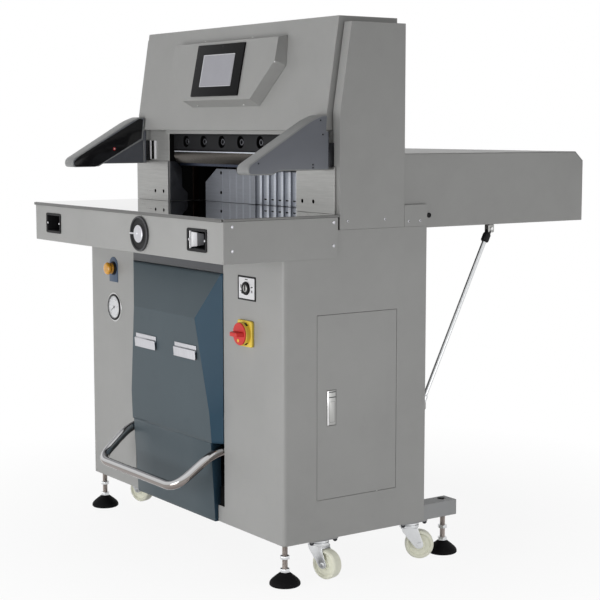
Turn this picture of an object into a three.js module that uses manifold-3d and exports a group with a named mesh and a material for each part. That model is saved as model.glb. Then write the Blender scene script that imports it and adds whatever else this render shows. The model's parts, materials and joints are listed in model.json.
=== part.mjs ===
// A hydraulic paper cutter that stands on the floor: a sheet steel cabinet on a welded base
// with casters and levelling feet, a cutting table, two columns with the knife and the clamp
// between them, a hood with the control console, and a covered rear table for the back gauge.
// Millimetres. X runs to the operator's right, Y to the back, Z up from the floor.

import * as THREE from 'three';
import { mergeVertices } from 'three/addons/utils/BufferGeometryUtils.js';
import Module from 'manifold-3d';

const wasm = await Module();
wasm.setup();

// Clearances and stock that every piece shares.
const seam = 0.3;
const running = 0.5;
const overrun = 6;
const sheet = 2;
const roundSides = 24;
const smallSides = 16;

// Driving sizes of the machine.
const tableHeight = 915;
const tableWidth = 1015;
const tableDepth = 331;
const apronHeight = 106.5;
const cabinetWidth = 1009;
const cabinetSetback = 172;
const cabinetDepth = 443;
const cabinetBottom = 105;
const throatWidth = 652;
const throatHeight = 205;
const columnWidth = 146;
const columnDepth = 199;
const hoodHeight = 279;
const hoodLeanDegrees = 8.87;
const hoodOverhang = 23;
const sideCoverDrop = 15;
const sideCoverLap = 38;
const rearTableLength = 637;
const rearTableWidth = 994;
const rearWallAbove = 144.5;
const rearWallBelow = 43;

// Planes that several pieces share, worked out from the driving sizes.
const halfTable = tableWidth / 2;
const halfCabinet = cabinetWidth / 2;
const halfThroat = throatWidth / 2;
const halfRear = rearTableWidth / 2;
const apronBottom = tableHeight - apronHeight;
const facePlateThickness = 5.5;
const facePlateFront = tableDepth + facePlateThickness / 4;
const columnFront = facePlateFront + facePlateThickness + seam;
const columnRear = columnFront + columnDepth;
const columnOuter = halfThroat + columnWidth;
const hoodBottom = tableHeight + throatHeight;
const hoodTop = hoodBottom + hoodHeight;
const hoodSlope = Math.tan(THREE.MathUtils.degToRad(hoodLeanDegrees));
const hoodBottomFront = columnFront - hoodOverhang;
const hoodTopFront = hoodBottomFront + hoodHeight * hoodSlope;
const hoodRear = columnRear + sheet + seam + running;
const halfHood = columnOuter;
const cabinetRear = cabinetSetback + cabinetDepth;
const sideCoverBottom = tableHeight - sideCoverLap;
const cabinetTop = sideCoverBottom - seam;
const rearTableFront = hoodRear + sheet;
const rearTableRear = rearTableFront + rearTableLength;
const rearWallTop = tableHeight + rearWallAbove;
const rearWallBottom = tableHeight - rearWallBelow;

const hoodFrontAt = (z) => hoodBottomFront + (z - hoodBottom) * hoodSlope;

// Joins a closed surface's vertices and hands it to the boolean library, faces outwards.
function solid(geometry) {
  geometry.deleteAttribute('normal');
  geometry.deleteAttribute('uv');
  const merged = mergeVertices(geometry);
  const corners = merged.index.array;
  const kept = [];
  for (let i = 0; i < corners.length; i += 3) {
    const [a, b, c] = [corners[i], corners[i + 1], corners[i + 2]];
    if (a !== b && b !== c && c !== a) kept.push(a, b, c);
  }
  return new wasm.Manifold(new wasm.Mesh({
    numProp: 3,
    vertProperties: new Float32Array(merged.attributes.position.array),
    triVerts: new Uint32Array(kept),
  }));
}

const unite = (first, ...rest) => rest.reduce((sum, next) => sum.add(next), first);
const cut = (body, ...tools) => tools.reduce((left, tool) => left.subtract(tool), body);

// A box between two values along each axis, in either order.
function block(x, y, z) {
  const spans = [x, y, z].map(([a, b]) => Math.abs(b - a));
  const box = new THREE.BoxGeometry(...spans);
  box.translate((x[0] + x[1]) / 2, (y[0] + y[1]) / 2, (z[0] + z[1]) / 2);
  return solid(box);
}

// Local x, y and z of an extrusion, as world directions, for an outline square to each axis.
const layouts = {
  x: [[0, 1, 0], [0, 0, 1], [1, 0, 0]],
  y: [[0, 0, 1], [1, 0, 0], [0, 1, 0]],
  z: [[1, 0, 0], [0, 1, 0], [0, 0, 1]],
};

// Extrudes an outline of [y, z], [x, z] or [x, y] points along the axis that it leaves out.
function prism(axis, outline, from, to) {
  const points = outline.map(([a, b]) => (axis === 'y' ? [b, a] : [a, b]));
  const shape = new THREE.Shape(points.map(([a, b]) => new THREE.Vector2(a, b)));
  const depth = Math.abs(to - from);
  const body = new THREE.ExtrudeGeometry(shape, { depth, bevelEnabled: false });
  const start = Math.min(from, to);
  const [right, up, along] = layouts[axis].map((v) => new THREE.Vector3(...v));
  body.applyMatrix4(new THREE.Matrix4().makeBasis(right, up, along));
  body.translate(along.x * start, along.y * start, along.z * start);
  return solid(body);
}

// A round bar along an axis through centre, between two values on that axis.
function rod(axis, radius, centre, from, to, sides = roundSides) {
  const bar = new THREE.CylinderGeometry(radius, radius, Math.abs(to - from), sides);
  const middle = (from + to) / 2;
  if (axis === 'x') {
    bar.rotateZ(Math.PI / 2);
    bar.translate(middle, centre[0], centre[1]);
  } else if (axis === 'y') {
    bar.translate(centre[0], middle, centre[1]);
  } else {
    bar.rotateX(Math.PI / 2);
    bar.translate(centre[0], centre[1], middle);
  }
  return solid(bar);
}

// Turns a profile of [radius, height] points about Z.
function turned(profile, sides = roundSides) {
  const outline = profile.map(([r, h]) => new THREE.Vector2(r, h));
  const body = new THREE.LatheGeometry(outline, sides);
  body.rotateX(Math.PI / 2);
  return solid(body);
}

// The same turned body with its axis along Y and its profile's height pointing forwards.
const turnedForwards = (profile, sides) => turned(profile, sides).rotate([90, 0, 0]);

// Skins rings of equal point counts, each a list of [x, y, z] that runs clockwise as seen from
// the last ring, and caps both ends as fans.
function loft(rings) {
  const count = rings[0].length;
  const positions = rings.flat(2);
  const index = [];
  for (let r = 0; r + 1 < rings.length; r += 1) {
    for (let i = 0; i < count; i += 1) {
      const [a, b] = [r * count + i, r * count + (i + 1) % count];
      index.push(a, b + count, b, a, a + count, b + count);
    }
  }
  const last = (rings.length - 1) * count;
  for (let i = 1; i + 1 < count; i += 1) {
    index.push(0, i, i + 1, last, last + i + 1, last + i);
  }
  const skin = new THREE.BufferGeometry();
  skin.setAttribute('position', new THREE.Float32BufferAttribute(positions, 3));
  skin.setIndex(index);
  return solid(skin);
}

// A straight path with its corners rounded, for bent tube.
function bentPath(corners, radius) {
  const points = corners.map((c) => new THREE.Vector3(...c));
  const path = new THREE.CurvePath();
  let start = points[0];
  for (let i = 1; i + 1 < points.length; i += 1) {
    const back = points[i - 1].clone().sub(points[i]).setLength(radius).add(points[i]);
    const ahead = points[i + 1].clone().sub(points[i]).setLength(radius).add(points[i]);
    path.add(new THREE.LineCurve3(start, back));
    path.add(new THREE.QuadraticBezierCurve3(back, points[i], ahead));
    start = ahead;
  }
  path.add(new THREE.LineCurve3(start, points[points.length - 1]));
  return path;
}

// A solid bar of round section carried along a path.
function bentBar(path, radius, steps, sides) {
  const section = new THREE.Shape();
  section.absarc(0, 0, radius, 0, Math.PI * 2);
  const settings = { steps, extrudePath: path, curveSegments: sides, bevelEnabled: false };
  return solid(new THREE.ExtrudeGeometry(section, settings));
}

const paint = (color, roughness, metalness) => ({ color, roughness, metalness });
const finishes = {
  panel: paint(0xa6a7a2, 0.5, 0.1),
  blue: paint(0x4d6170, 0.5, 0.1),
  arm: paint(0x7e8189, 0.5, 0.1),
  frame: paint(0x84878a, 0.55, 0.2),
  ground: paint(0xb4b3ae, 0.3, 0.9),
  chrome: paint(0xd8d8d8, 0.12, 1),
  zinc: paint(0xc9ccd0, 0.3, 0.9),
  steel: paint(0x5c5f63, 0.45, 0.8),
  black: paint(0x141416, 0.5, 0),
  cream: paint(0xdfdfba, 0.45, 0),
  amber: paint(0xe0921a, 0.3, 0),
  red: paint(0xc8242c, 0.35, 0),
  yellow: paint(0xe9c838, 0.4, 0),
  white: paint(0xe8e8e8, 0.4, 0),
};

// Adds one named piece to a group at a place and turn in that group.
function piece(group, name, body, finish, position = [0, 0, 0], rotation = [0, 0, 0]) {
  const mesh = body.getMesh();
  const geometry = new THREE.BufferGeometry();
  const corners = new THREE.Float32BufferAttribute(mesh.vertProperties, 3);
  geometry.setAttribute('position', corners);
  geometry.setIndex(Array.from(mesh.triVerts));
  geometry.computeVertexNormals();
  const made = new THREE.Mesh(geometry, new THREE.MeshStandardMaterial(finishes[finish]));
  made.name = name;
  made.position.set(...position);
  made.rotation.set(...rotation);
  group.add(made);
}

const machine = new THREE.Group();
const flanks = [['left', -1], ['right', 1]];

// The welded base: two side rails that run out behind the cabinet, three cross rails that
// carry the columns and the tank, and a pad over each caster.
const base = { railWidth: 50, railHeight: 40, outrigger: 113, crossWidth: 40, padHeight: 4 };
const padLength = 84;
const footInset = { front: 21, rear: 26 };
const footStudRadius = 7;
const casterSetback = { front: 124, rear: 28 };
const railOuter = halfCabinet - sheet - seam;
const railTop = cabinetBottom + base.railHeight;
const railMiddle = railOuter - base.railWidth / 2;
const bendRadius = 10;
const railFront = cabinetSetback + bendRadius + seam;
const railRear = cabinetRear + base.outrigger;
const crossFronts = [columnFront, columnRear - base.crossWidth, cabinetRear - base.crossWidth
  - sheet * 2];
const footPlaces = [
  ['front', cabinetSetback + footInset.front],
  ['rear', railRear - footInset.rear],
];
const casterPlaces = [
  ['front', cabinetSetback + casterSetback.front],
  ['rear', cabinetRear - casterSetback.rear],
];

function baseFrame() {
  const height = [cabinetBottom, railTop];
  const rails = flanks.map(([, side]) => block(
    [side * (railOuter - base.railWidth), side * railOuter],
    [railFront, railRear],
    height,
  ));
  const reach = railOuter - base.railWidth / 2;
  const crosses = crossFronts.map((y) => block([-reach, reach], [y, y + base.crossWidth], height));
  const pads = [];
  const holes = [];
  for (const [, side] of flanks) {
    for (const [, y] of casterPlaces) {
      pads.push(block(
        [side * (railOuter - base.railWidth), side * railOuter],
        [y - padLength / 2, y + padLength / 2],
        [cabinetBottom - base.padHeight, cabinetBottom + base.padHeight],
      ));
    }
    for (const [, y] of footPlaces) {
      const centre = [side * railMiddle, y];
      const reachUp = railTop + overrun;
      holes.push(rod('z', footStudRadius + seam, centre, cabinetBottom - overrun, reachUp,
        smallSides));
    }
  }
  return cut(unite(...rails, ...crosses, ...pads), ...holes);
}

// A levelling foot: a domed pad with its stud, nut on the pad and lock nut.
const foot = { radius: 39, rim: 8, shoulder: 15, dome: 32, nutRadius: 12, nutHeight: 8 };
const lockNutHeight = 68;
function levellingFoot() {
  const collar = foot.dome + foot.nutHeight;
  const nutTop = lockNutHeight + foot.nutHeight;
  return turned([
    [0, 0], [foot.radius, 0], [foot.radius, foot.rim],
    [(foot.radius + foot.shoulder) / 2, (foot.rim + foot.dome) / 2 + foot.rim / 2],
    [foot.shoulder, foot.dome], [foot.nutRadius, foot.dome], [foot.nutRadius, collar],
    [footStudRadius, collar], [footStudRadius, lockNutHeight], [foot.nutRadius, lockNutHeight],
    [foot.nutRadius, nutTop], [footStudRadius, nutTop], [footStudRadius, railTop - seam],
    [0, railTop - seam],
  ], smallSides);
}

// A swivel caster under its pad: race, fork and axle in one piece, and the wheel on the axle.
const wheel = { radius: 37.5, width: 30, axleRadius: 5, trail: 27, liftOff: 4 };
const wheelShares = { treadShare: 0.7, shoulderShare: 0.9, webRadiusShare: 0.6, hubShare: 0.6,
  webWidthShare: 0.6 };
const fork = { sheet: 3, raceRadius: 26, raceHeight: 9, legTop: 44, legFoot: 20 };
const casterTop = cabinetBottom - base.padHeight - seam;
const wheelCentre = wheel.radius + wheel.liftOff;
// The turn of each caster about its pin at rest, in degrees from X.
const casterTurns = { left_front: 17, right_front: 15, left_rear: 80, right_rear: 55 };

function casterFork() {
  const crown = casterTop - fork.raceHeight;
  const halfGap = wheel.width / 2 + running;
  const half = halfGap + fork.sheet;
  const race = rod('z', fork.raceRadius, [0, 0], crown - fork.sheet / 2, casterTop);
  const legLength = fork.legTop / 2;
  const plate = block([-legLength, legLength], [-half, half], [crown - fork.sheet, crown]);
  const legs = [-1, 1].map((side) => prism('y', [
    [-legLength, crown],
    [-legLength, crown - fork.raceHeight],
    [wheel.trail - fork.legFoot / 2, wheelCentre - fork.legFoot / 2],
    [wheel.trail + fork.legFoot / 2, wheelCentre - fork.legFoot / 2],
    [wheel.trail + fork.legFoot / 2, wheelCentre],
    [legLength, crown],
  ], side * halfGap, side * half));
  const axle = rod('y', wheel.axleRadius, [wheel.trail, wheelCentre], -half - fork.sheet,
    half + fork.sheet, smallSides);
  return unite(race, plate, ...legs, axle);
}

function casterWheel() {
  const half = wheel.width / 2;
  const tread = half * wheelShares.treadShare;
  const bore = wheel.axleRadius + running;
  const shoulder = wheel.radius * wheelShares.shoulderShare;
  const inner = wheel.radius * wheelShares.webRadiusShare;
  const hub = inner * wheelShares.hubShare;
  const web = half * wheelShares.webWidthShare;
  return turnedForwards([
    [bore, -half], [hub, -half], [inner, -web], [shoulder, -half],
    [wheel.radius, -tread], [wheel.radius, tread], [shoulder, half],
    [inner, web], [hub, half], [bore, half], [bore, -half],
  ]);
}

for (const [flank, side] of flanks) {
  for (const [end, y] of footPlaces) {
    piece(machine, `levelling_foot_${flank}_${end}`, levellingFoot(), 'steel',
      [side * railMiddle, y, 0]);
  }
  for (const [end, y] of casterPlaces) {
    const caster = new THREE.Group();
    caster.position.set(side * railMiddle, y, 0);
    caster.rotation.z = THREE.MathUtils.degToRad(casterTurns[`${flank}_${end}`]);
    piece(caster, `caster_fork_${flank}_${end}`, casterFork(), 'zinc');
    piece(caster, `caster_wheel_${flank}_${end}`, casterWheel(), 'cream',
      [wheel.trail, 0, wheelCentre]);
    machine.add(caster);
  }
}
piece(machine, 'base_frame', baseFrame(), 'frame');

// The cabinet is one folded shell: both sides, both front strips and the header between them.
// Its front opening takes the blue cover, and its right side has the service door.
const opening = { left: -243, right: 231, header: 51 };
const slot = { width: 30, top: 315, bottom: 148, footLap: 6 };
const openingTop = apronBottom - opening.header;
const doorGap = 0.8;
const door = { front: 99, length: 248, bottom: 102, height: 462, depth: 15 };
const doorY = [cabinetSetback + door.front, cabinetSetback + door.front + door.length];
const doorZ = [cabinetBottom + door.bottom, cabinetBottom + door.bottom + door.height];
const amber = { radius: 18, reach: 28, cap: 20, stemRadius: 11, travel: 5, stem: 22 };
const amberDrop = 83;
const controlsDrop = 79.5;
const gaugeDrop = 195.5;
const leftControlsInset = 143.5;
const selectorInset = 163.5;
const amberAt = [leftControlsInset - halfCabinet, apronBottom - amberDrop];
const selector = { radius: 17, depth: 7, stemRadius: 5, plateGap: 1.6, finShare: 0.9 };
const selectorAt = [halfCabinet - selectorInset, apronBottom - controlsDrop];
const gauge = { radius: 42, bodyRadius: 34, proud: 4, rim: 10, dial: 2.6, body: 30 };
const gaugeAt = [leftControlsInset - halfCabinet, apronBottom - gaugeDrop];

// Half of the outline of a folded strip: round the corner and back along its inner face.
function foldedCorner(side, inner) {
  const outer = [];
  const back = [];
  const bendSteps = 5;
  for (let i = 0; i <= bendSteps; i += 1) {
    const angle = (i / bendSteps) * Math.PI / 2;
    const [s, c] = [Math.sin(angle), Math.cos(angle)];
    const centre = [halfCabinet - bendRadius, cabinetSetback + bendRadius];
    const small = bendRadius - sheet;
    outer.push([side * (centre[0] + bendRadius * s), centre[1] - bendRadius * c]);
    back.unshift([side * (centre[0] + small * s), centre[1] - small * c]);
  }
  return [
    [side * inner, cabinetSetback], ...outer, [side * halfCabinet, cabinetRear],
    [side * (halfCabinet - sheet), cabinetRear], ...back,
    [side * inner, cabinetSetback + sheet],
  ];
}

function cabinetShell() {
  const lap = 2 * sheet;
  const sides = flanks.map(([, side]) => prism('z', foldedCorner(side, 0), cabinetBottom,
    cabinetTop));
  const throughFront = [cabinetSetback - overrun, cabinetSetback + sheet + overrun];
  const mouth = block([opening.left, opening.right], throughFront, [slot.bottom, openingTop]);
  const footInset = slot.width + slot.footLap;
  const toe = block([opening.left + footInset, opening.right - footInset], throughFront,
    [cabinetBottom - overrun, slot.bottom + lap]);
  const throughSide = [halfCabinet - sheet - overrun, halfCabinet + overrun];
  const doorway = block(throughSide, [doorY[0] - doorGap, doorY[1] + doorGap],
    [doorZ[0] - doorGap, doorZ[1] + doorGap]);
  const holes = [
    [amber.stemRadius, amberAt], [selector.stemRadius, selectorAt], [gauge.bodyRadius, gaugeAt],
  ].map(([radius, at]) => rod('y', radius + running, at, ...throughFront));
  return cut(unite(...sides), mouth, toe, doorway, ...holes);
}
piece(machine, 'cabinet_shell', cabinetShell(), 'panel');

const rearPanelHalf = halfCabinet - sheet - seam;
piece(machine, 'cabinet_rear_panel', block([-rearPanelHalf, rearPanelHalf],
  [cabinetRear - sheet, cabinetRear], [railTop + seam, rearWallBottom - seam]), 'panel');

// The blue front cover bulges from its flush edges to a crease and falls back to its foot.
const coverGap = 0.8;
const cover = {
  lip: 3, lipInset: 5,
  crease: 42, creaseInset: 74, creaseDrop: 119,
  waist: 27.5, waistInset: 28, waistDrop: 362,
  foot: 10.5, footInset: 14,
};
const coverLeft = opening.left + coverGap;
const coverRight = opening.right - coverGap;
const coverTop = openingTop - coverGap;

// One level of the cover: its front, and the two cheeks that run back to the edges.
function coverRing(z, proud, inset, skin) {
  const back = cabinetSetback + sheet + (skin > 0 ? overrun : 0);
  const depth = proud - skin;
  const edge = cabinetSetback - Math.min(cover.lip, proud) / 2;
  const [left, right] = [coverLeft + skin, coverRight - skin];
  return [
    [left, back, z], [right, back, z], [right, edge, z],
    [coverRight - inset, cabinetSetback - depth, z],
    [coverLeft + inset, cabinetSetback - depth, z], [left, edge, z],
  ];
}

function frontCover() {
  const levels = [
    [cabinetBottom, cover.foot, cover.footInset],
    [coverTop - cover.waistDrop, cover.waist, cover.waistInset],
    [coverTop - cover.creaseDrop, cover.crease, cover.creaseInset],
    [coverTop, cover.lip, cover.lipInset],
  ];
  const outer = loft(levels.map(([z, proud, inset]) => coverRing(z, proud, inset, 0)));
  const innerLevels = levels.map(([z, proud, inset], i) => {
    const ends = [-overrun, 0, 0, -sheet];
    return coverRing(z + ends[i], proud, inset, sheet);
  });
  const notches = [
    [coverLeft - overrun, opening.left + slot.width],
    [opening.right - slot.width, coverRight + overrun],
  ].map((x) => block(x, [0, cabinetRear], [0, slot.top]));
  return cut(outer, loft(innerLevels), ...notches);
}
piece(machine, 'front_cover', frontCover(), 'blue');

// Two pull grips of bent aluminium strip on the cover, under the crease.
const grip = { length: 109, height: 37, flange: 10, step: 5, foot: 7, wall: 3, drop: 73 };
const gripCentres = { left: -106.8, right: 104.2 };
const creaseZ = coverTop - cover.creaseDrop;
const coverFall = (cover.crease - cover.waist) / (cover.waistDrop - cover.creaseDrop);
const coverFaceAt = (z) => cabinetSetback - cover.crease + (creaseZ - z) * coverFall;

function pullGrip() {
  const top = creaseZ - grip.drop;
  const foot = top - grip.height;
  const waist = top - grip.height / 2;
  const ledge = top - grip.flange;
  const bedAt = (z) => coverFaceAt(z) - seam;
  return prism('x', [
    [bedAt(top), top], [bedAt(top) - grip.wall, top], [bedAt(ledge) - grip.wall, ledge],
    [bedAt(ledge) - grip.wall - grip.step, ledge - grip.wall],
    [bedAt(foot) - grip.foot, foot], [bedAt(foot) - grip.foot + grip.wall, foot],
    [bedAt(waist) - grip.foot + grip.wall, waist],
    [bedAt(waist + grip.wall), waist + grip.wall],
  ], -grip.length / 2, grip.length / 2);
}
for (const [flank] of flanks) {
  piece(machine, `cover_grip_${flank}`, pullGrip(), 'ground', [gripCentres[flank], 0, 0]);
}

// The service door is a pan with returned edges, hinged at its rear edge, with a flush latch.
const latch = { front: 31, width: 26, top: 189, height: 87, thickness: 3, pin: 2, slack: 1.2 };
const latchY = [doorY[0] + latch.front, doorY[0] + latch.front + latch.width];
const latchZ = [doorZ[1] - latch.top - latch.height, doorZ[1] - latch.top];

function sideDoor() {
  const body = block([halfCabinet - door.depth, halfCabinet], doorY, doorZ);
  const hollow = block([halfCabinet - door.depth - overrun, halfCabinet - sheet],
    [doorY[0] + sheet, doorY[1] - sheet], [doorZ[0] + sheet, doorZ[1] - sheet]);
  const window = block([halfCabinet - sheet - overrun, halfCabinet + overrun],
    [latchY[0] - latch.slack, latchY[1] + latch.slack],
    [latchZ[0] - latch.slack, latchZ[1] + latch.slack]);
  return cut(body, hollow, window);
}

function doorLatch() {
  const paddle = block([halfCabinet - latch.thickness, halfCabinet], latchY, latchZ);
  const pinHeight = latchZ[1] - latch.pin;
  const pin = rod('y', latch.pin, [halfCabinet - latch.pin, pinHeight],
    latchY[0] - latch.slack / 2, latchY[1] + latch.slack / 2, smallSides);
  return unite(paddle, pin);
}
piece(machine, 'side_door', sideDoor(), 'panel');
piece(machine, 'door_latch', doorLatch(), 'chrome');

// The foot pedal: a bent tube loop in front, two arms through the slots and a cross shaft
// whose ends turn in the columns.
const pedalReach = { front: 130, knee: 18, pivotBehind: 81.825, pivotRise: 151, drop: 85 };
const pedal = {
  radius: 12,
  bend: 46,
  pivotY: columnFront + pedalReach.pivotBehind,
  pivotZ: railTop + pedalReach.pivotRise,
  frontY: cabinetSetback - pedalReach.front,
  frontZ: railTop + pedalReach.pivotRise - pedalReach.drop,
};
const pedalInset = 13.8;
const pedalSplay = 17;
const pedalShaftRadius = 10;
const pedalHubShare = 1.3;
const pedalKneeY = cabinetSetback - pedalReach.knee;
const pedalSeat = 15;
const pedalX = [opening.left + pedalInset, opening.right - pedalInset];

function footPedal() {
  const [left, right] = pedalX;
  const path = bentPath([
    [right, pedal.pivotY, pedal.pivotZ], [right, pedalKneeY, pedal.pivotZ],
    [right - pedalSplay, pedal.frontY, pedal.frontZ],
    [left + pedalSplay, pedal.frontY, pedal.frontZ],
    [left, pedalKneeY, pedal.pivotZ], [left, pedal.pivotY, pedal.pivotZ],
  ], pedal.bend);
  const reach = halfThroat + pedalSeat;
  const shaft = rod('x', pedalShaftRadius, [pedal.pivotY, pedal.pivotZ], -reach, reach);
  const hubs = pedalX.map((x) => rod('x', pedal.radius * pedalHubShare, [pedal.pivotY, pedal.pivotZ],
    x - pedal.radius, x + pedal.radius));
  return unite(bentBar(path, pedal.radius, 64, 6), shaft, ...hubs);
}
piece(machine, 'foot_pedal', footPedal(), 'chrome');

// The columns: a web beside the throat, with a front flange below the hood.
const column = { web: 30, flange: 20, neck: 38, crownDrop: 29 };
const neckFront = columnFront + column.neck;
const columnTop = hoodTop - column.crownDrop;

function sideColumn(side) {
  const inner = side * halfThroat;
  const web = [inner, inner + side * column.web];
  const foot = railTop + seam;
  const lower = block(web, [columnFront, columnRear], [foot, hoodBottom - seam]);
  const neck = block(web, [neckFront, columnRear], [foot, columnTop]);
  const flange = block([inner, side * columnOuter], [columnFront, columnFront + column.flange],
    [foot, hoodBottom - seam]);
  const bearing = rod('x', pedalShaftRadius + running, [pedal.pivotY, pedal.pivotZ],
    inner - side * overrun, inner + side * (column.web + overrun));
  return cut(unite(lower, neck, flange), bearing);
}

// The ground plates on the column faces, standing on the table.
const facePlate = { height: 115 };
const facePlateLaps = { left: 35.5, right: 18 };
function columnPlate(flank, side) {
  const x = [side * halfThroat, side * (columnOuter + facePlateLaps[flank])];
  return block(x, [facePlateFront, columnFront - seam],
    [tableHeight + seam, tableHeight + seam + facePlate.height]);
}
for (const [flank, side] of flanks) {
  piece(machine, `column_${flank}`, sideColumn(side), 'frame');
  piece(machine, `face_plate_${flank}`, columnPlate(flank, side), 'ground');
}

// The back gauge drive lies in a slot down the middle of both tables.
const screw = { radius: 7, drop: 25, journalRadius: 5, journal: 12, slotHalf: 12, front: 64,
  rearGap: 45 };
const screwZ = tableHeight - screw.drop;
const slotFront = columnFront + screw.front;
const screwRear = rearTableRear - screw.rearGap;
const bearingBlock = { width: 44, length: 16, depth: 38 };

// The cutting table: a thin visible edge over the apron, a thick slab inside it, and a tongue
// that runs back through the throat.
const table = { edge: 6.5, slab: 36, wing: 26, inset: 8 };
const tableSlabBottom = tableHeight - table.slab;

function workTable() {
  const rim = block([-halfTable, halfTable], [0, columnFront - seam],
    [tableHeight - table.edge, tableHeight]);
  const slabHalf = halfTable - table.inset;
  const slab = block([-slabHalf, slabHalf], [table.inset, columnFront - seam],
    [tableHeight - table.wing, tableHeight - table.edge / 2]);
  const tongueHalf = halfThroat - seam;
  const tongue = block([-tongueHalf, tongueHalf], [table.inset, rearTableFront - seam],
    [tableSlabBottom, tableHeight]);
  const groove = block([-screw.slotHalf, screw.slotHalf], [slotFront, rearTableFront + overrun],
    [tableSlabBottom - overrun, tableHeight + overrun]);
  const socket = rod('y', screw.journalRadius + running, [0, screwZ],
    slotFront - screw.journal - seam, slotFront + overrun);
  return cut(unite(rim, slab, tongue), groove, socket);
}
piece(machine, 'work_table', workTable(), 'ground');

// The apron round the front and sides of the table, cut for the two switch cups and the wheel.
const apronSheet = 2.5;
const cup = { width: 91, height: 56, flange: 2.5, wall: 2, depth: 37, border: 4 };
const cupDrop = 55.5;
const cupInset = 117.5;
const cupAt = { x: halfTable - cupInset, z: tableHeight - cupDrop };
const cupCut = [cup.width / 2 - cup.border, cup.height / 2 - cup.border];
const handWheelDrop = 56.5;
const handWheelOffset = 110;
const handWheelAt = [handWheelOffset, tableHeight - handWheelDrop];
const wheelStandoff = 1;
const wheelThickness = 6;
const wheelHubProud = 1;
const handWheel = { radius: 45, hubRadius: 24, shaftRadius: 7, shaft: 26, web: 2, rimWidth: 7 };

function tableApron() {
  const z = [apronBottom, tableHeight - table.edge - seam];
  const beyond = [apronBottom - overrun, tableHeight];
  const outer = block([-halfTable, halfTable], [0, tableDepth], z);
  const inside = halfTable - apronSheet;
  const hollow = block([-inside, inside], [apronSheet, tableDepth + overrun], beyond);
  const through = [-overrun, apronSheet + overrun];
  const cups = flanks.map(([, side]) => block(
    [side * cupAt.x - cupCut[0], side * cupAt.x + cupCut[0]],
    through,
    [cupAt.z - cupCut[1], cupAt.z + cupCut[1]],
  ));
  const hole = rod('y', handWheel.shaftRadius + running, handWheelAt, ...through);
  return cut(outer, hollow, ...cups, hole);
}
piece(machine, 'table_apron', tableApron(), 'panel');

// Each switch cup is a black box with a flange on the apron, and holds a hinged metal paddle.
const paddle = { length: 36, root: 38, tip: 26, thickness: 2, pin: 2.5, turnDegrees: 40 };
const cupInner = [cupCut[0] - seam - cup.wall, cupCut[1] - seam - cup.wall];

function switchCup() {
  const rim = block([-cup.width / 2, cup.width / 2], [-seam - cup.flange, -seam],
    [-cup.height / 2, cup.height / 2]);
  const [halfX, halfZ] = cupCut.map((half) => half - seam);
  const box = block([-halfX, halfX], [-seam - cup.flange, cup.depth], [-halfZ, halfZ]);
  const hollow = block([-cupInner[0], cupInner[0]], [-overrun, cup.depth - cup.wall],
    [-cupInner[1], cupInner[1]]);
  return cut(unite(rim, box), hollow);
}

function cutPaddle() {
  const blade = prism('y', [
    [0, -paddle.root / 2], [paddle.length, -paddle.tip / 2],
    [paddle.length, paddle.tip / 2], [0, paddle.root / 2],
  ], -paddle.thickness / 2, paddle.thickness / 2);
  const half = cupInner[1] - seam;
  return unite(blade, rod('z', paddle.pin, [0, 0], -half, half, smallSides));
}
for (const [flank, side] of flanks) {
  const turn = THREE.MathUtils.degToRad(side > 0 ? paddle.turnDegrees
    : 180 - paddle.turnDegrees);
  piece(machine, `switch_cup_${flank}`, switchCup(), 'black', [side * cupAt.x, 0, cupAt.z]);
  piece(machine, `cut_paddle_${flank}`, cutPaddle(), 'chrome',
    [side * (cupAt.x - cupInner[0] + paddle.pin + running), paddle.pin, cupAt.z], [0, 0, turn]);
}

// The hand wheel in front of the apron: dished rim, hub, a short bar and the shaft behind.
function handWheelBody() {
  const back = 0;
  const face = wheelThickness;
  const rimInner = handWheel.radius - handWheel.rimWidth;
  const edge = wheelThickness / 3;
  const profile = [
    [0, back], [handWheel.radius - edge, back], [handWheel.radius, back + edge],
    [handWheel.radius, face - edge], [handWheel.radius - edge, face],
    [rimInner + edge, face], [rimInner, handWheel.web], [handWheel.hubRadius, handWheel.web],
    [handWheel.hubRadius, face], [handWheel.hubRadius - edge, face + wheelHubProud],
    [0, face + wheelHubProud],
  ];
  const disc = turnedForwards(profile);
  const reach = handWheel.radius - edge;
  const bar = block([-reach, 0], [-face - wheelHubProud / 2, -handWheel.web / 2],
    [-edge / 2, edge / 2]);
  const shaft = rod('y', handWheel.shaftRadius, [0, 0], -handWheel.web / 2, handWheel.shaft,
    smallSides);
  return unite(disc, bar, shaft);
}
piece(machine, 'hand_wheel', handWheelBody(), 'black',
  [handWheelAt[0], -wheelStandoff, handWheelAt[1]]);

// Controls on the cabinet front.
function amberButton() {
  const neck = amber.reach - amber.cap;
  return turnedForwards([
    [0, -amber.stem], [amber.stemRadius, -amber.stem], [amber.stemRadius, neck],
    [amber.radius, neck], [amber.radius, amber.reach - neck / 2],
    [amber.radius - neck / 2, amber.reach], [0, amber.reach],
  ]);
}
piece(machine, 'amber_button', amberButton(), 'amber', [amberAt[0], cabinetSetback, amberAt[1]]);

function selectorKnob() {
  const foot = selector.plateGap;
  const top = selector.plateGap + selector.depth;
  const edge = selector.depth / 4;
  const dial = turnedForwards([
    [0, -amber.stem], [selector.stemRadius, -amber.stem], [selector.stemRadius, foot],
    [selector.radius, foot], [selector.radius, foot + edge], [selector.radius - edge, foot + edge * 2],
    [0, foot + edge * 2],
  ]);
  const fin = block([-edge, edge], [-top, -foot - edge],
    [-selector.radius * selector.finShare, selector.radius * selector.finShare]);
  return unite(dial, fin);
}
piece(machine, 'selector_knob', selectorKnob(), 'black',
  [selectorAt[0], cabinetSetback, selectorAt[1]]);

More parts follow.
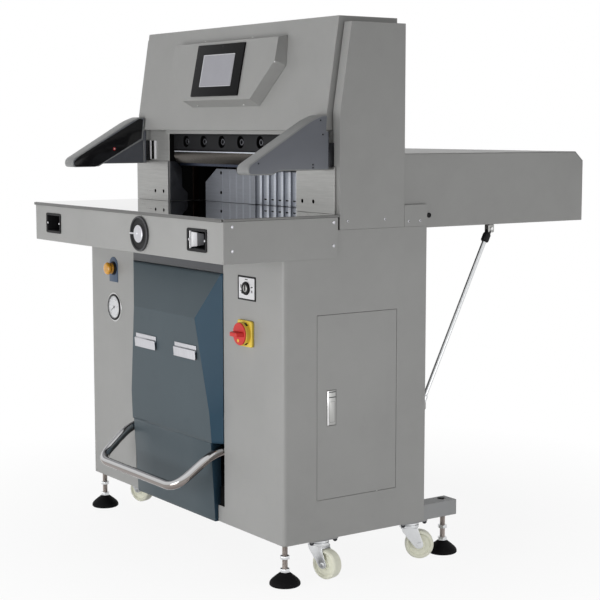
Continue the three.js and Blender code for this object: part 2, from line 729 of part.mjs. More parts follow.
function pressureGauge() {
  const face = gauge.proud - gauge.dial;
  const inner = gauge.radius - gauge.rim;
  return turnedForwards([
    [0, -gauge.body], [gauge.bodyRadius, -gauge.body], [gauge.bodyRadius, seam],
    [gauge.radius, seam], [gauge.radius, gauge.proud], [inner, gauge.proud], [inner, face],
    [0, face],
  ]);
}
piece(machine, 'pressure_gauge', pressureGauge(), 'chrome',
  [gaugeAt[0], cabinetSetback, gaugeAt[1]]);

// The needle points at the dial's zero when the pump is off, at its lower left.
const needle = { length: 27, tail: 9, half: 1.6, thickness: 0.8, hub: 4, restDegrees: 225 };
function gaugeNeedle() {
  const top = -needle.thickness;
  const hand = prism('y', [
    [-needle.tail, -needle.half], [needle.length, -needle.half / 2],
    [needle.length, needle.half / 2], [-needle.tail, needle.half],
  ], top, 0);
  return unite(hand, rod('y', needle.hub, [0, 0], top * 2, 0, smallSides));
}
piece(machine, 'gauge_needle', gaugeNeedle(), 'black',
  [gaugeAt[0], cabinetSetback - gauge.proud + gauge.dial - seam, gaugeAt[1]],
  [0, -THREE.MathUtils.degToRad(needle.restDegrees), 0]);

// The main switch: a yellow plate with a round collar, and a red rotary handle on it.
const mainSwitch = { width: 66, plate: 8, depth: 21, collar: 30, disc: 30, discDepth: 3,
  stemRadius: 6, stem: 12 };
const switchBar = { half: 24, height: 11, proud: 18 };
const mainSwitchDrop = 192.5;
const mainSwitchInset = 163.5;
const mainSwitchAt = [halfCabinet - mainSwitchInset, apronBottom - mainSwitchDrop];
function mainSwitchBox() {
  const half = mainSwitch.width / 2;
  const plate = block([-half, half], [-mainSwitch.plate, -seam], [-half, half]);
  const front = -mainSwitch.depth;
  const collar = rod('y', mainSwitch.collar, [0, 0], front, -mainSwitch.plate / 2);
  return cut(unite(plate, collar), rod('y', mainSwitch.stemRadius + running, [0, 0], front - overrun,
    front + mainSwitch.stem + running));
}
function mainSwitchHandle() {
  const front = -mainSwitch.depth - running;
  const disc = rod('y', mainSwitch.disc, [0, 0], front - mainSwitch.discDepth, front);
  const bar = block([-switchBar.half, switchBar.half],
    [front - mainSwitch.discDepth - switchBar.proud, front - mainSwitch.discDepth / 2],
    [-switchBar.height / 2, switchBar.height / 2]);
  const stem = rod('y', mainSwitch.stemRadius, [0, 0], front - mainSwitch.discDepth / 2,
    front + mainSwitch.stem, smallSides);
  return unite(disc, bar, stem);
}
const switchPlace = [mainSwitchAt[0], cabinetSetback, mainSwitchAt[1]];
piece(machine, 'main_switch_box', mainSwitchBox(), 'yellow', switchPlace);
piece(machine, 'main_switch_handle', mainSwitchHandle(), 'red', switchPlace);

// The hood is a leaning sheet box, open below and behind, with a rear panel of its own.
function hood() {
  const outline = (front, top, rear) => [
    [hoodFrontAt(hoodBottom) + front, hoodBottom - (front > 0 ? overrun : 0)],
    [hoodTopFront + front, hoodTop - top],
    [hoodRear + rear, hoodTop - top],
    [hoodRear + rear, hoodBottom - (front > 0 ? overrun : 0)],
  ];
  const outer = prism('x', outline(0, 0, 0), -halfHood, halfHood);
  const inside = halfHood - sheet;
  return cut(outer, prism('x', outline(sheet, sheet, overrun), -inside, inside));
}
piece(machine, 'hood', hood(), 'panel');

const hoodPanelHalf = halfHood - sheet - seam;
piece(machine, 'hood_rear_panel', block([-hoodPanelHalf, hoodPanelHalf],
  [hoodRear - sheet, hoodRear], [rearWallTop + sheet + seam * 2, hoodTop - sheet - seam]),
'panel');

// The side covers are pans over the columns, set back a little from the hood's leaning front.
const kneeAboveHoodBottom = 41;
const kneeZ = hoodBottom + kneeAboveHoodBottom;
const sideCoverTop = hoodTop - sideCoverDrop;
const sideCoverGap = 2.3;
function sideCover(side) {
  const rear = hoodRear + sheet - seam;
  const outline = (skin) => [
    [columnFront + skin, sideCoverBottom + skin],
    [columnFront + skin, kneeZ],
    [columnFront + (sideCoverTop - kneeZ) * hoodSlope + skin, sideCoverTop - skin],
    [rear - skin, sideCoverTop - skin],
    [rear - skin, sideCoverBottom + skin],
  ];
  const inner = side * (halfHood + sideCoverGap);
  const outer = side * halfCabinet;
  const pan = prism('x', outline(0), inner, outer);
  return cut(pan, prism('x', outline(sheet), inner - side * overrun, outer - side * sheet));
}
for (const [flank, side] of flanks) {
  piece(machine, `side_cover_${flank}`, sideCover(side), 'panel');
}

// The console: a wedge with a six-sided face, proud of the hood, and the touch screen on it.
const console = { topDrop: 37, height: 180, proudTop: 28, proudBottom: 36, wall: 2 };
const consoleHalf = { top: 260, middle: 270, bottom: 171 };
const consoleShares = { middleShare: 0.44, faceTopShare: 0.028, faceMiddleShare: 0.36,
  faceBottomShare: 0.9, faceMiddleWidthShare: 0.96 };
const consoleTop = hoodTop - console.topDrop;
const consoleFaceLean = Math.atan(hoodSlope
  + (console.proudBottom - console.proudTop) / console.height);
const consoleBaseAt = (z) => hoodFrontAt(z) - seam;
const consoleFaceAt = (z) => consoleBaseAt(consoleTop) - console.proudTop
  - (consoleTop - z) * Math.tan(consoleFaceLean);

function consoleRing(topShare, middleShare, bottomShare, middleHalf, depthAt, trim) {
  const levels = [
    [topShare, consoleHalf.top], [middleShare, middleHalf], [bottomShare, consoleHalf.bottom],
  ];
  const right = levels.map(([share, half], i) => {
    const level = consoleTop - console.height * share + [-trim, 0, trim][i];
    return [half - trim, depthAt(level), level];
  });
  const left = right.map(([x, y, z]) => [-x, y, z]).reverse();
  return [...right, ...left];
}

function consoleHousing() {
  const { middleShare, faceTopShare, faceMiddleShare, faceBottomShare } = consoleShares;
  const faceHalf = consoleHalf.middle * consoleShares.faceMiddleWidthShare;
  const baseRing = (trim, back) => consoleRing(0, middleShare, 1, consoleHalf.middle,
    (z) => consoleBaseAt(z) + back, trim);
  const faceRing = (trim, back) => consoleRing(faceTopShare, faceMiddleShare, faceBottomShare,
    faceHalf, (z) => consoleFaceAt(z) + back, trim);
  const shell = loft([baseRing(0, 0), faceRing(0, 0)]);
  const hollow = loft([baseRing(console.wall * 2, overrun), faceRing(console.wall * 2,
    console.wall)]);
  return cut(shell, hollow);
}
piece(machine, 'console_housing', consoleHousing(), 'panel');

const screen = { width: 237, height: 142, thickness: 4, offset: -6, dropShare: 0.46 };
const screenCentre = consoleTop - console.height * screen.dropShare;
piece(machine, 'touch_screen', block([-screen.width / 2, screen.width / 2],
  [-screen.thickness, 0], [-screen.height / 2, screen.height / 2]), 'black',
[screen.offset, consoleFaceAt(screenCentre) - seam, screenCentre], [-consoleFaceLean, 0, 0]);

// The guard arms carry the light barrier in front of the knife. Each is a wedge with a rounded
// crown and a recess for the dark window in its inner face, on a block bolted to the column.
const arm = { width: 51, outer: 482, reach: 233.9, standoff: 9.575, step: 9, nose: 20,
  footDrop: 7 };
const armNose = { toe: 8, heel: 68.4, heelRun: 17.5 };
const armSlope = { run: 180.4, rise: 110.7 };
const armCrown = { run: 31, rise: 12.3, flat: 13, shoulder: 9 };
const armMount = { inset: 1.5, height: 58, overlap: 6 };
const armWindow = { depth: 6, rim: 3.5, foot: 4, rear: 9, slant: 16, rearDrop: 56 };
const armRear = facePlateFront - arm.standoff;
const armFoot = tableHeight + facePlate.height - arm.footDrop;
const armMountFoot = tableHeight + facePlate.height + seam * 3;

function guardArm(side) {
  const tip = armRear - arm.reach;
  const underNose = armFoot - arm.step;
  const noseTop = underNose + arm.nose;
  const slopeEnd = [tip + armSlope.run, noseTop + armSlope.rise];
  const crownFront = [slopeEnd[0] + armCrown.run, slopeEnd[1] + armCrown.rise];
  const shoulder = crownFront[1] - armCrown.shoulder;
  const outline = [
    [tip, underNose + armNose.toe], [tip, noseTop], slopeEnd, crownFront,
    [crownFront[0] + armCrown.flat, crownFront[1]],
    [hoodFrontAt(shoulder) - seam, shoulder], [hoodFrontAt(hoodBottom) - seam, hoodBottom],
    [hoodFrontAt(hoodBottom) - seam, hoodBottom - seam * 2], [armRear, hoodBottom - seam * 2],
    [armRear, armFoot], [tip + armNose.heel + armNose.heelRun, armFoot],
    [tip + armNose.heel, underNose], [tip + armNose.toe, underNose],
  ];
  const inner = side * (arm.outer - arm.width);
  const body = prism('x', outline, inner, side * arm.outer);
  const windowTop = (y) => noseTop + (y - tip) * armSlope.rise / armSlope.run - armWindow.rim;
  const front = tip + armWindow.rim;
  const back = hoodFrontAt(hoodBottom) - armWindow.rear;
  const recess = prism('x', [
    [front, underNose + armWindow.rim], [front, windowTop(front)],
    [slopeEnd[0], windowTop(slopeEnd[0])], [crownFront[0], crownFront[1] - armWindow.rim],
    [back, crownFront[1] - armWindow.rim * 2], [back, crownFront[1] - armWindow.rearDrop],
    [back - armWindow.slant, crownFront[1] - armWindow.rearDrop - armWindow.foot],
    [tip + armNose.heel, underNose + armWindow.rim],
  ], inner - side * overrun, inner + side * armWindow.depth);
  const mount = block([side * (arm.outer - armMount.inset), inner + side * armMount.inset],
    [armRear - armMount.overlap, columnFront - seam],
    [armMountFoot, armMountFoot + armMount.height]);
  return unite(cut(body, recess), mount);
}
for (const [flank, side] of flanks) {
  piece(machine, `guard_arm_${flank}`, guardArm(side), 'arm');
}

// The crosshead ties the columns under the hood and holds the clamp cylinder's barrel.
const knifeOpening = { blade: 111, clamp: 103 };
const knifeSetback = 6.825;
const clampSetback = 4;
const knifeEndGap = 26;
const clampEndGap = 8;
const knifeSteps = { bladeHeight: 34, beamRise: 19, beamHeight: 105 };
const blade = {
  thickness: 10,
  bevel: 19,
  bottom: tableHeight + knifeOpening.blade,
  top: tableHeight + knifeOpening.blade + knifeSteps.bladeHeight,
};
const knife = {
  half: halfThroat - knifeEndGap,
  front: columnFront + knifeSetback,
  thickness: 22,
  bottom: blade.bottom + knifeSteps.beamRise,
  top: blade.bottom + knifeSteps.beamRise + knifeSteps.beamHeight,
};
const clamp = {
  half: halfThroat - clampEndGap,
  front: knife.front + knife.thickness + clampSetback,
  thickness: 28,
  bottom: tableHeight + knifeOpening.clamp,
  height: 94,
};
const clampRod = { radius: 11, barrel: 28, barrelDrop: 65, reach: 188 };
const crosshead = { depth: 80, height: 100, topDrop: 69 };
const clampMiddle = clamp.front + clamp.thickness / 2;
const clampTop = clamp.bottom + clamp.height;
const crossheadTop = hoodTop - crosshead.topDrop;
const crossheadBottom = crossheadTop - crosshead.height;
const crossheadFront = clamp.front + seam * 2;

function crossheadBody() {
  const half = halfThroat - seam;
  const beam = block([-half, half], [crossheadFront, crossheadFront + crosshead.depth],
    [crossheadBottom, crossheadTop]);
  const centre = [0, clampMiddle];
  const barrel = rod('z', clampRod.barrel, centre, crossheadBottom - clampRod.barrelDrop,
    crossheadBottom + overrun);
  const bore = rod('z', clampRod.radius + running, centre,
    crossheadBottom - clampRod.barrelDrop - overrun, clampTop + clampRod.reach + overrun);
  return cut(unite(beam, barrel), bore);
}
piece(machine, 'crosshead', crossheadBody(), 'frame');

function clampBeam() {
  const beam = block([-clamp.half, clamp.half], [clamp.front, clamp.front + clamp.thickness],
    [clamp.bottom, clampTop]);
  return unite(beam, rod('z', clampRod.radius, [0, clampMiddle], clampTop - overrun,
    clampTop + clampRod.reach));
}
piece(machine, 'clamp_beam', clampBeam(), 'steel');

// The knife slides on a slant, so it starts to the left of the middle and ends to the right.
const slantDegrees = 10;
const slant = THREE.MathUtils.degToRad(slantDegrees);
const knifeStroke = blade.bottom - tableHeight;
const knifeOffset = -knifeStroke * Math.tan(slant) / 2;
const ram = { x: -150, radius: 7, length: 110, barrel: 14.5, barrelLength: 112, stand: 6 };
const ramAt = [ram.x, crossheadFront - seam * 2 - ram.barrel, knife.top];

function knifeBeam() {
  const x = [knifeOffset - knife.half, knifeOffset + knife.half];
  const beam = block(x, [knife.front, knife.front + knife.thickness],
    [knife.bottom, knife.top]);
  const rebate = block([x[0] - overrun, x[1] + overrun],
    [knife.front - overrun, knife.front + blade.thickness + seam],
    [knife.bottom - overrun, blade.top + seam]);
  const piston = rod('z', ram.radius, [0, 0], -overrun, ram.length)
    .rotate([0, -slantDegrees, 0]).translate(ramAt);
  return unite(cut(beam, rebate), piston);
}
piece(machine, 'knife_beam', knifeBeam(), 'steel');

const bladeBack = knife.front + blade.thickness;
piece(machine, 'knife_blade', prism('x', [
  [knife.front, blade.top], [bladeBack, blade.top], [bladeBack, blade.bottom],
  [bladeBack - sheet / 4, blade.bottom], [knife.front, blade.bottom + blade.bevel],
], knifeOffset - knife.half, knifeOffset + knife.half), 'ground');

function knifeCylinder() {
  const barrel = rod('z', ram.barrel, [0, 0], ram.stand, ram.stand + ram.barrelLength);
  const bore = rod('z', ram.radius + running, [0, 0], 0, ram.length + overrun / 2);
  return cut(barrel, bore).rotate([0, -slantDegrees, 0]).translate(ramAt);
}
piece(machine, 'knife_cylinder', knifeCylinder(), 'steel');

// The back gauge: a plain plate on the left and comb ribs on the right, on a back plate with
// a foot, and a nut under the table that the lead screw drives.
const gaugeSetback = 31;
const gaugeEndGap = 50;
const backGauge = {
  half: halfThroat - gaugeEndGap,
  front: clamp.front + clamp.thickness + gaugeSetback,
  face: 6,
  back: 10,
  height: 94,
  plainEnd: -14,
};
const comb = { start: 10, width: 10, pitch: 34.8, cornerRun: 60, cornerDrop: 39.5 };
const nut = { half: 11, front: 10, length: 30, top: 12, tongue: 9, footHalf: 60, footHeight: 20 };

function backGaugeBody() {
  const foot = tableHeight + running;
  const top = foot + backGauge.height;
  const backY = [backGauge.front + backGauge.face, backGauge.front + backGauge.face
    + backGauge.back];
  const plate = block([-backGauge.half, backGauge.half], backY, [foot, top]);
  const face = [backGauge.front, backY[0] + seam];
  const plain = block([-backGauge.half, backGauge.plainEnd], face, [foot, top]);
  const ribs = [];
  for (let x = comb.start; x + comb.width < backGauge.half; x += comb.pitch) {
    ribs.push(block([x, x + comb.width], face, [foot, top]));
  }
  const past = overrun * comb.cornerDrop / comb.cornerRun;
  const corner = prism('y', [
    [-backGauge.half - overrun, top + past],
    [-backGauge.half - overrun, top - comb.cornerDrop - past],
    [-backGauge.half + comb.cornerRun + overrun, top + past],
  ], backGauge.front - overrun, backY[1] + overrun);
  const base = block([-nut.footHalf, nut.footHalf], [backY[1] - seam, backY[1] + nut.length],
    [foot, foot + nut.footHeight]);
  const nutY = [backY[0] + nut.front, backY[0] + nut.front + nut.length];
  const tongue = block([-nut.tongue, nut.tongue], nutY, [screwZ, foot + nut.footHeight]);
  const nutBody = block([-nut.half, nut.half], nutY, [screwZ - nut.half, screwZ + nut.top]);
  const thread = rod('y', screw.radius + running, [0, screwZ], nutY[0] - overrun,
    nutY[1] + overrun);
  return cut(unite(plate, plain, ...ribs, base, tongue, nutBody), corner, thread);
}
piece(machine, 'back_gauge', backGaugeBody(), 'ground');

function leadScrew() {
  const rear = screwRear - seam;
  const shank = rod('y', screw.radius, [0, screwZ], slotFront + seam, rear, smallSides);
  const journals = rod('y', screw.journalRadius, [0, screwZ], slotFront - screw.journal,
    rear + screw.journal, smallSides);
  return unite(shank, journals);
}
piece(machine, 'lead_screw', leadScrew(), 'steel');

// The rear table: a bed between two side walls with bottom flanges, and a cover over all.
const rear = { bed: 10, flange: 42, bracket: 74, bracketHeight: 55, chamfer: [28, 25] };
const rearInside = halfRear - sheet;

function rearBed() {
  const half = rearInside - seam;
  const end = rearTableRear - sheet - seam;
  const plate = block([-half, half], [rearTableFront, end], [tableHeight - rear.bed,
    tableHeight]);
  const carrier = block([-bearingBlock.width / 2, bearingBlock.width / 2],
    [screwRear, screwRear + bearingBlock.length], [tableHeight - bearingBlock.depth,
      tableHeight - rear.bed / 2]);
  const groove = block([-screw.slotHalf, screw.slotHalf], [rearTableFront - overrun,
    screwRear - running], [rearWallBottom, tableHeight + overrun]);
  const socket = rod('y', screw.journalRadius + running, [0, screwZ], screwRear - overrun,
    screwRear + screw.journal + seam);
  return cut(unite(plate, carrier), groove, socket);
}
piece(machine, 'rear_bed', rearBed(), 'ground');

const rearEnd = rearTableRear - sheet - seam;
function rearWall(side) {
  const outer = side * halfRear;
  const inner = side * rearInside;
  const wall = prism('x', [
    [rearTableFront, rearWallBottom], [rearEnd, rearWallBottom],
    [rearEnd, rearWallTop - rear.chamfer[1]], [rearEnd - rear.chamfer[0], rearWallTop],
    [rearTableFront, rearWallTop],
  ], inner, outer);
  const flange = block([side * (halfRear - rear.flange), outer], [cabinetRear + seam, rearEnd],
    [rearWallBottom, rearWallBottom + sheet]);
  const bracket = block([inner, side * halfCabinet], [rearTableFront,
    rearTableFront + rear.bracket], [sideCoverBottom, sideCoverBottom + rear.bracketHeight]);
  return unite(wall, flange, bracket);
}
for (const [flank, side] of flanks) {
  piece(machine, `rear_wall_${flank}`, rearWall(side), 'panel');
}

function rearCover() {
  const path = (skin) => [
    [rearTableFront, rearWallTop + seam + sheet - skin],
    [rearEnd - rear.chamfer[0] + sheet / 2, rearWallTop + seam + sheet - skin],
    [rearTableRear - skin, rearWallTop - rear.chamfer[1] + sheet - skin / 2],
    [rearTableRear - skin, rearWallBottom],
  ];
  return prism('x', [...path(0), ...path(sheet).reverse()], -halfRear, halfRear);
}
piece(machine, 'rear_cover', rearCover(), 'panel');

// A stay on each side props the rear table from the back of the cabinet.
const stayPlace = { inset: 23, reach: 242, drop: 467 };
const stay = {
  x: halfRear - stayPlace.inset,
  radius: 6,
  bootRadius: 11,
  boot: 26,
  topY: cabinetRear + stayPlace.reach,
  footZ: rearWallBottom - stayPlace.drop,
  pad: 24,
};
function stayRod() {
  const top = new THREE.Vector3(0, stay.topY, rearWallBottom - seam - stay.pad / 2);
  const foot = new THREE.Vector3(0, cabinetRear + seam + stay.pad / 2, stay.footZ);
  const along = top.clone().sub(foot);
  const tilt = -THREE.MathUtils.radToDeg(Math.atan2(along.y, along.z));
  const length = along.length();
  const bar = unite(
    rod('z', stay.radius, [0, 0], 0, length, smallSides),
    rod('z', stay.bootRadius, [0, 0], length - stay.boot - stay.pad / 2, length, smallSides),
  ).rotate([tilt, 0, 0]).translate([0, foot.y, foot.z]);
  const half = stay.pad / 2;
  const pads = [top, foot].map((at) => block([-half, half], [at.y - half, at.y + half],
    [at.z - half, at.z + half]));
  const limit = block([-stay.pad, stay.pad], [foot.y - half, rearTableRear],
    [foot.z - stay.pad * 2, top.z + half]);
  return unite(bar, ...pads).intersect(limit);
}
for (const [flank, side] of flanks) {
  piece(machine, `rear_stay_${flank}`, stayRod(), 'zinc', [side * stay.x, 0, 0]);
}

// The hydraulic unit in the cabinet: the oil tank on the cross rails with the motor on top.
const tank = { half: 190, depth: 150, height: 250 };
const motor = { radius: 70, height: 190, offset: -60 };
function hydraulicUnit() {
  const back = cabinetRear - sheet * 3;
  const foot = railTop + seam;
  const lid = foot + tank.height;
  const box = block([-tank.half, tank.half], [back - tank.depth, back], [foot, lid]);
  const drum = rod('z', motor.radius, [motor.offset, back - tank.depth / 2], lid - sheet,
    lid + motor.height);
  return unite(box, drum);
}
piece(machine, 'hydraulic_unit', hydraulicUnit(), 'frame');

// The origin is on the floor, below the middle of the whole machine's extent.
const group = new THREE.Group();
group.add(machine);
const middle = new THREE.Box3().setFromObject(machine, true).getCenter(new THREE.Vector3());
machine.position.set(-middle.x, -middle.y, 0);

export default group;
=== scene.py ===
"""A hydraulic paper cutter, dressed for the camera: finished surfaces, small parts and light."""

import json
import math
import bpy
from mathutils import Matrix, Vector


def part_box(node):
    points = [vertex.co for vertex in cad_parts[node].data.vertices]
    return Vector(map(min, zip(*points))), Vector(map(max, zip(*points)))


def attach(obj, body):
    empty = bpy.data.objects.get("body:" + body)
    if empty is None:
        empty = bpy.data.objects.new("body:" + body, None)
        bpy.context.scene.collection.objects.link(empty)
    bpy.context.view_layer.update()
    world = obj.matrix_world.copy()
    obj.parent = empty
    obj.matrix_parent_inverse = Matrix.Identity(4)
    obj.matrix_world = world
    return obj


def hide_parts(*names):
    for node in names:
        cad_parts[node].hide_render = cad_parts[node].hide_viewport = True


bl_info = {
    "name": "Hydraulic paper cutter",
    "version": (1, 0, 0),
    "blender": (4, 5, 0),
    "location": "3D View > Sidebar > Cutter",
    "description": "Finishes the solids of a floor-standing hydraulic paper cutter",
    "category": "Object",
}

import bmesh
import bpy
import numpy as np
from mathutils import Vector

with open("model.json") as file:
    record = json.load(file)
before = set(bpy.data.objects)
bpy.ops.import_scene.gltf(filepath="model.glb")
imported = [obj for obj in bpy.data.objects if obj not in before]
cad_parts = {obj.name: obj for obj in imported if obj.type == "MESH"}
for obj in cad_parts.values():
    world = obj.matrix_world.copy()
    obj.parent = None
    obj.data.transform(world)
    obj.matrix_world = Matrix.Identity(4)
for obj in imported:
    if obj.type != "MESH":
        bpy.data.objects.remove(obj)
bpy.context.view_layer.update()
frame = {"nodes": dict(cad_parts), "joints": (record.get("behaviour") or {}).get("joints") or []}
nodes = frame["nodes"]
joints = {joint["name"]: joint for joint in frame["joints"]}

# Places are in millimetres from the middle of the table's front edge, at floor level.
table_low, table_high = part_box("work_table")
DATUM = np.array([(table_low.x + table_high.x) / 2, table_low.y, 0.0]) * 1000
FLANKS = (("left", -1), ("right", 1))
PLACES = ("left_front", "left_rear", "right_front", "right_rear")
# The direction from the machine's front to the operator.
FRONT = (0, -1, 0)
# A skin with neither of its end rows closed.
OPEN = (False, False)


def span(node):
    """The lowest and highest corner of a solid, in millimetres from the datum."""
    low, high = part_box(node)
    return np.array(low) * 1000 - DATUM, np.array(high) * 1000 - DATUM


def joint_place(name):
    """A joint's point in millimetres from the datum, and its axis."""
    joint = joints[name]
    return np.array(joint["pos_m"]) * 1000 - DATUM, np.array(joint["axis"])


def middle(low, high, plane):
    """The middle between two corners, as the two values square to the axis x, y or z."""
    return np.delete((low + high) / 2, "xyz".index(plane))


# Surfaces


def soft_path(points, reach, steps=5, closed=False):
    """Rounds every corner with a quadratic curve that leaves the straight `reach` before it."""
    c = np.asarray(points, float)
    bend = c if closed else c[..., 1:-1, :]
    before = np.roll(c, 1, -2) if closed else c[..., :-2, :]
    after = np.roll(c, -1, -2) if closed else c[..., 2:, :]
    back, ahead = before - bend, after - bend
    back_length = np.linalg.norm(back, axis=-1, keepdims=True)
    ahead_length = np.linalg.norm(ahead, axis=-1, keepdims=True)
    used = np.minimum(reach, 0.49 * np.minimum(back_length, ahead_length))
    start = (bend + back / back_length * used)[..., None, :]
    end = (bend + ahead / ahead_length * used)[..., None, :]
    t = np.linspace(0, 1, steps + 1)[:, None]
    arc = (1 - t) ** 2 * start + 2 * t * (1 - t) * bend[..., None, :] + t**2 * end
    flat = arc.reshape(*arc.shape[:-3], -1, c.shape[-1])
    if closed:
        return flat
    return np.concatenate([c[..., :1, :], flat, c[..., -1:, :]], -2)


def soft_corners(points, reach, steps=5):
    """A closed soft path whose corners each have their own reach."""
    return soft_path(points, reach[..., 0], steps, closed=True)


def rectangle(width, height, corner=2.0, centre=(0, 0), steps=4):
    """A rectangle about a centre with rounded corners."""
    half = np.array([[-1, -1], [1, -1], [1, 1], [-1, 1]]) * [width / 2, height / 2]
    return soft_path(half + np.array(centre), corner, steps, closed=True)


def between(low, high, corner=1.0):
    """A rectangle between two opposite corners, with rounded corners."""
    low, high = np.array(low, float), np.array(high, float)
    return rectangle(*(high - low), corner, (low + high) / 2)


def ring(radius, sides=48, centre=(0, 0)):
    """A circle, or a polygon with few sides, about a centre."""
    angle = np.arange(sides) / sides * 2 * np.pi
    return np.stack([np.cos(angle), np.sin(angle)], -1) * radius + np.array(centre)


def moved_in(curve, inset):
    """A closed curve moved towards its inside, along the normal at each point."""
    tangent = np.roll(curve, -1, 0) - np.roll(curve, 1, 0)
    normal = np.stack([-tangent[:, 1], tangent[:, 0]], -1)
    normal /= np.linalg.norm(normal, axis=1, keepdims=True)
    x, y = curve.T
    area = np.sum(x * np.roll(y, -1) - np.roll(x, -1) * y)
    return curve + normal * inset * np.sign(area)


def rounded_rows(low, high, edge, steps=3):
    """Rows (inset, level) of a plate whose two edges are quarter circles of radius edge."""
    t = np.linspace(0, np.pi / 2, steps + 1)
    lower = np.stack([edge * (1 - np.sin(t)), low + edge * (1 - np.cos(t))], -1)
    upper = np.stack([edge * (1 - np.cos(t)), high - edge * (1 - np.sin(t))], -1)
    return np.concatenate([lower, upper])


def rotated(points, angle):
    """Points (x, y) turned about the origin: (x cos - y sin, x sin + y cos)."""
    cosine, sine = math.cos(angle), math.sin(angle)
    return np.asarray(points, float) @ np.array([[cosine, sine], [-sine, cosine]])


def carried(curve, rows, plane):
    """A closed curve carried along an axis: each row is the curve moved in, at its level.

    The curve holds (y, z), (x, z) or (x, y) for the plane's axis x, y or z."""
    axis = "xyz".index(plane)
    layers = [moved_in(curve, inset) for inset, _ in rows]
    grid = np.insert(np.array(layers), axis, 0.0, axis=2)
    grid[:, :, axis] = np.array([level for _, level in rows])[:, None]
    return grid


def cell_edge(low, high, steps=8):
    """The edge of a rectangle between two corners, as `steps` points to a side."""
    corners = np.array([low, (high[0], low[1]), high, (low[0], high[1])], float)
    along = np.arange(steps)[:, None] / steps
    return np.concatenate([a + (b - a) * along for a, b in zip(corners, np.roll(corners, -1, 0))])


def sheet_outline(path, thickness):
    """The closed outline of a folded sheet: its path, and the same path set off square to it."""
    p = np.asarray(path, float)
    leg = np.diff(p, axis=0)
    normal = np.stack([-leg[:, 1], leg[:, 0]], -1) / np.linalg.norm(leg, axis=1, keepdims=True)
    mitre = np.concatenate([normal[:1], normal[:-1] + normal[1:], normal[-1:]])
    mitre[1:-1] /= (1 + np.sum(normal[:-1] * normal[1:], axis=1))[:, None]
    return np.concatenate([p, (p + mitre * thickness)[::-1]])


def upright(direction):
    """Two unit vectors square to a direction, and the direction itself."""
    w = np.asarray(direction, float)
    w = w / np.linalg.norm(w)
    helper = np.array([0.0, 0.0, 1.0]) if abs(w[2]) < 0.9 else np.array([1.0, 0.0, 0.0])
    u = np.cross(helper, w)
    u /= np.linalg.norm(u)
    return u, np.cross(w, u), w


def turned(profile, centre, direction=(0, 0, 1), sides=48):
    """A profile of (radius, height) turned about the line through centre in a direction."""
    u, v, w = upright(direction)
    p = np.asarray(profile, float)
    circle = ring(1.0, sides)
    across = circle[:, :1] * u + circle[:, 1:] * v
    return np.asarray(centre) + p[:, None, :1] * across + p[:, None, 1:] * w


def swept(path, radius, sides=16):
    """A round section carried along a path, kept from twisting by one fixed side direction."""
    p = np.asarray(path, float)
    along = np.gradient(p, axis=0)
    along /= np.linalg.norm(along, axis=1, keepdims=True)
    spread = p - p.mean(0)
    side = np.linalg.svd(spread, full_matrices=False)[2][2]
    u = np.tile(side, (len(p), 1)) - along * (along @ side)[:, None]
    u /= np.linalg.norm(u, axis=1, keepdims=True)
    v = np.cross(along, u)
    circle = ring(radius, sides)
    return p[:, None] + circle[None, :, :1] * u[:, None] + circle[None, :, 1:] * v[:, None]


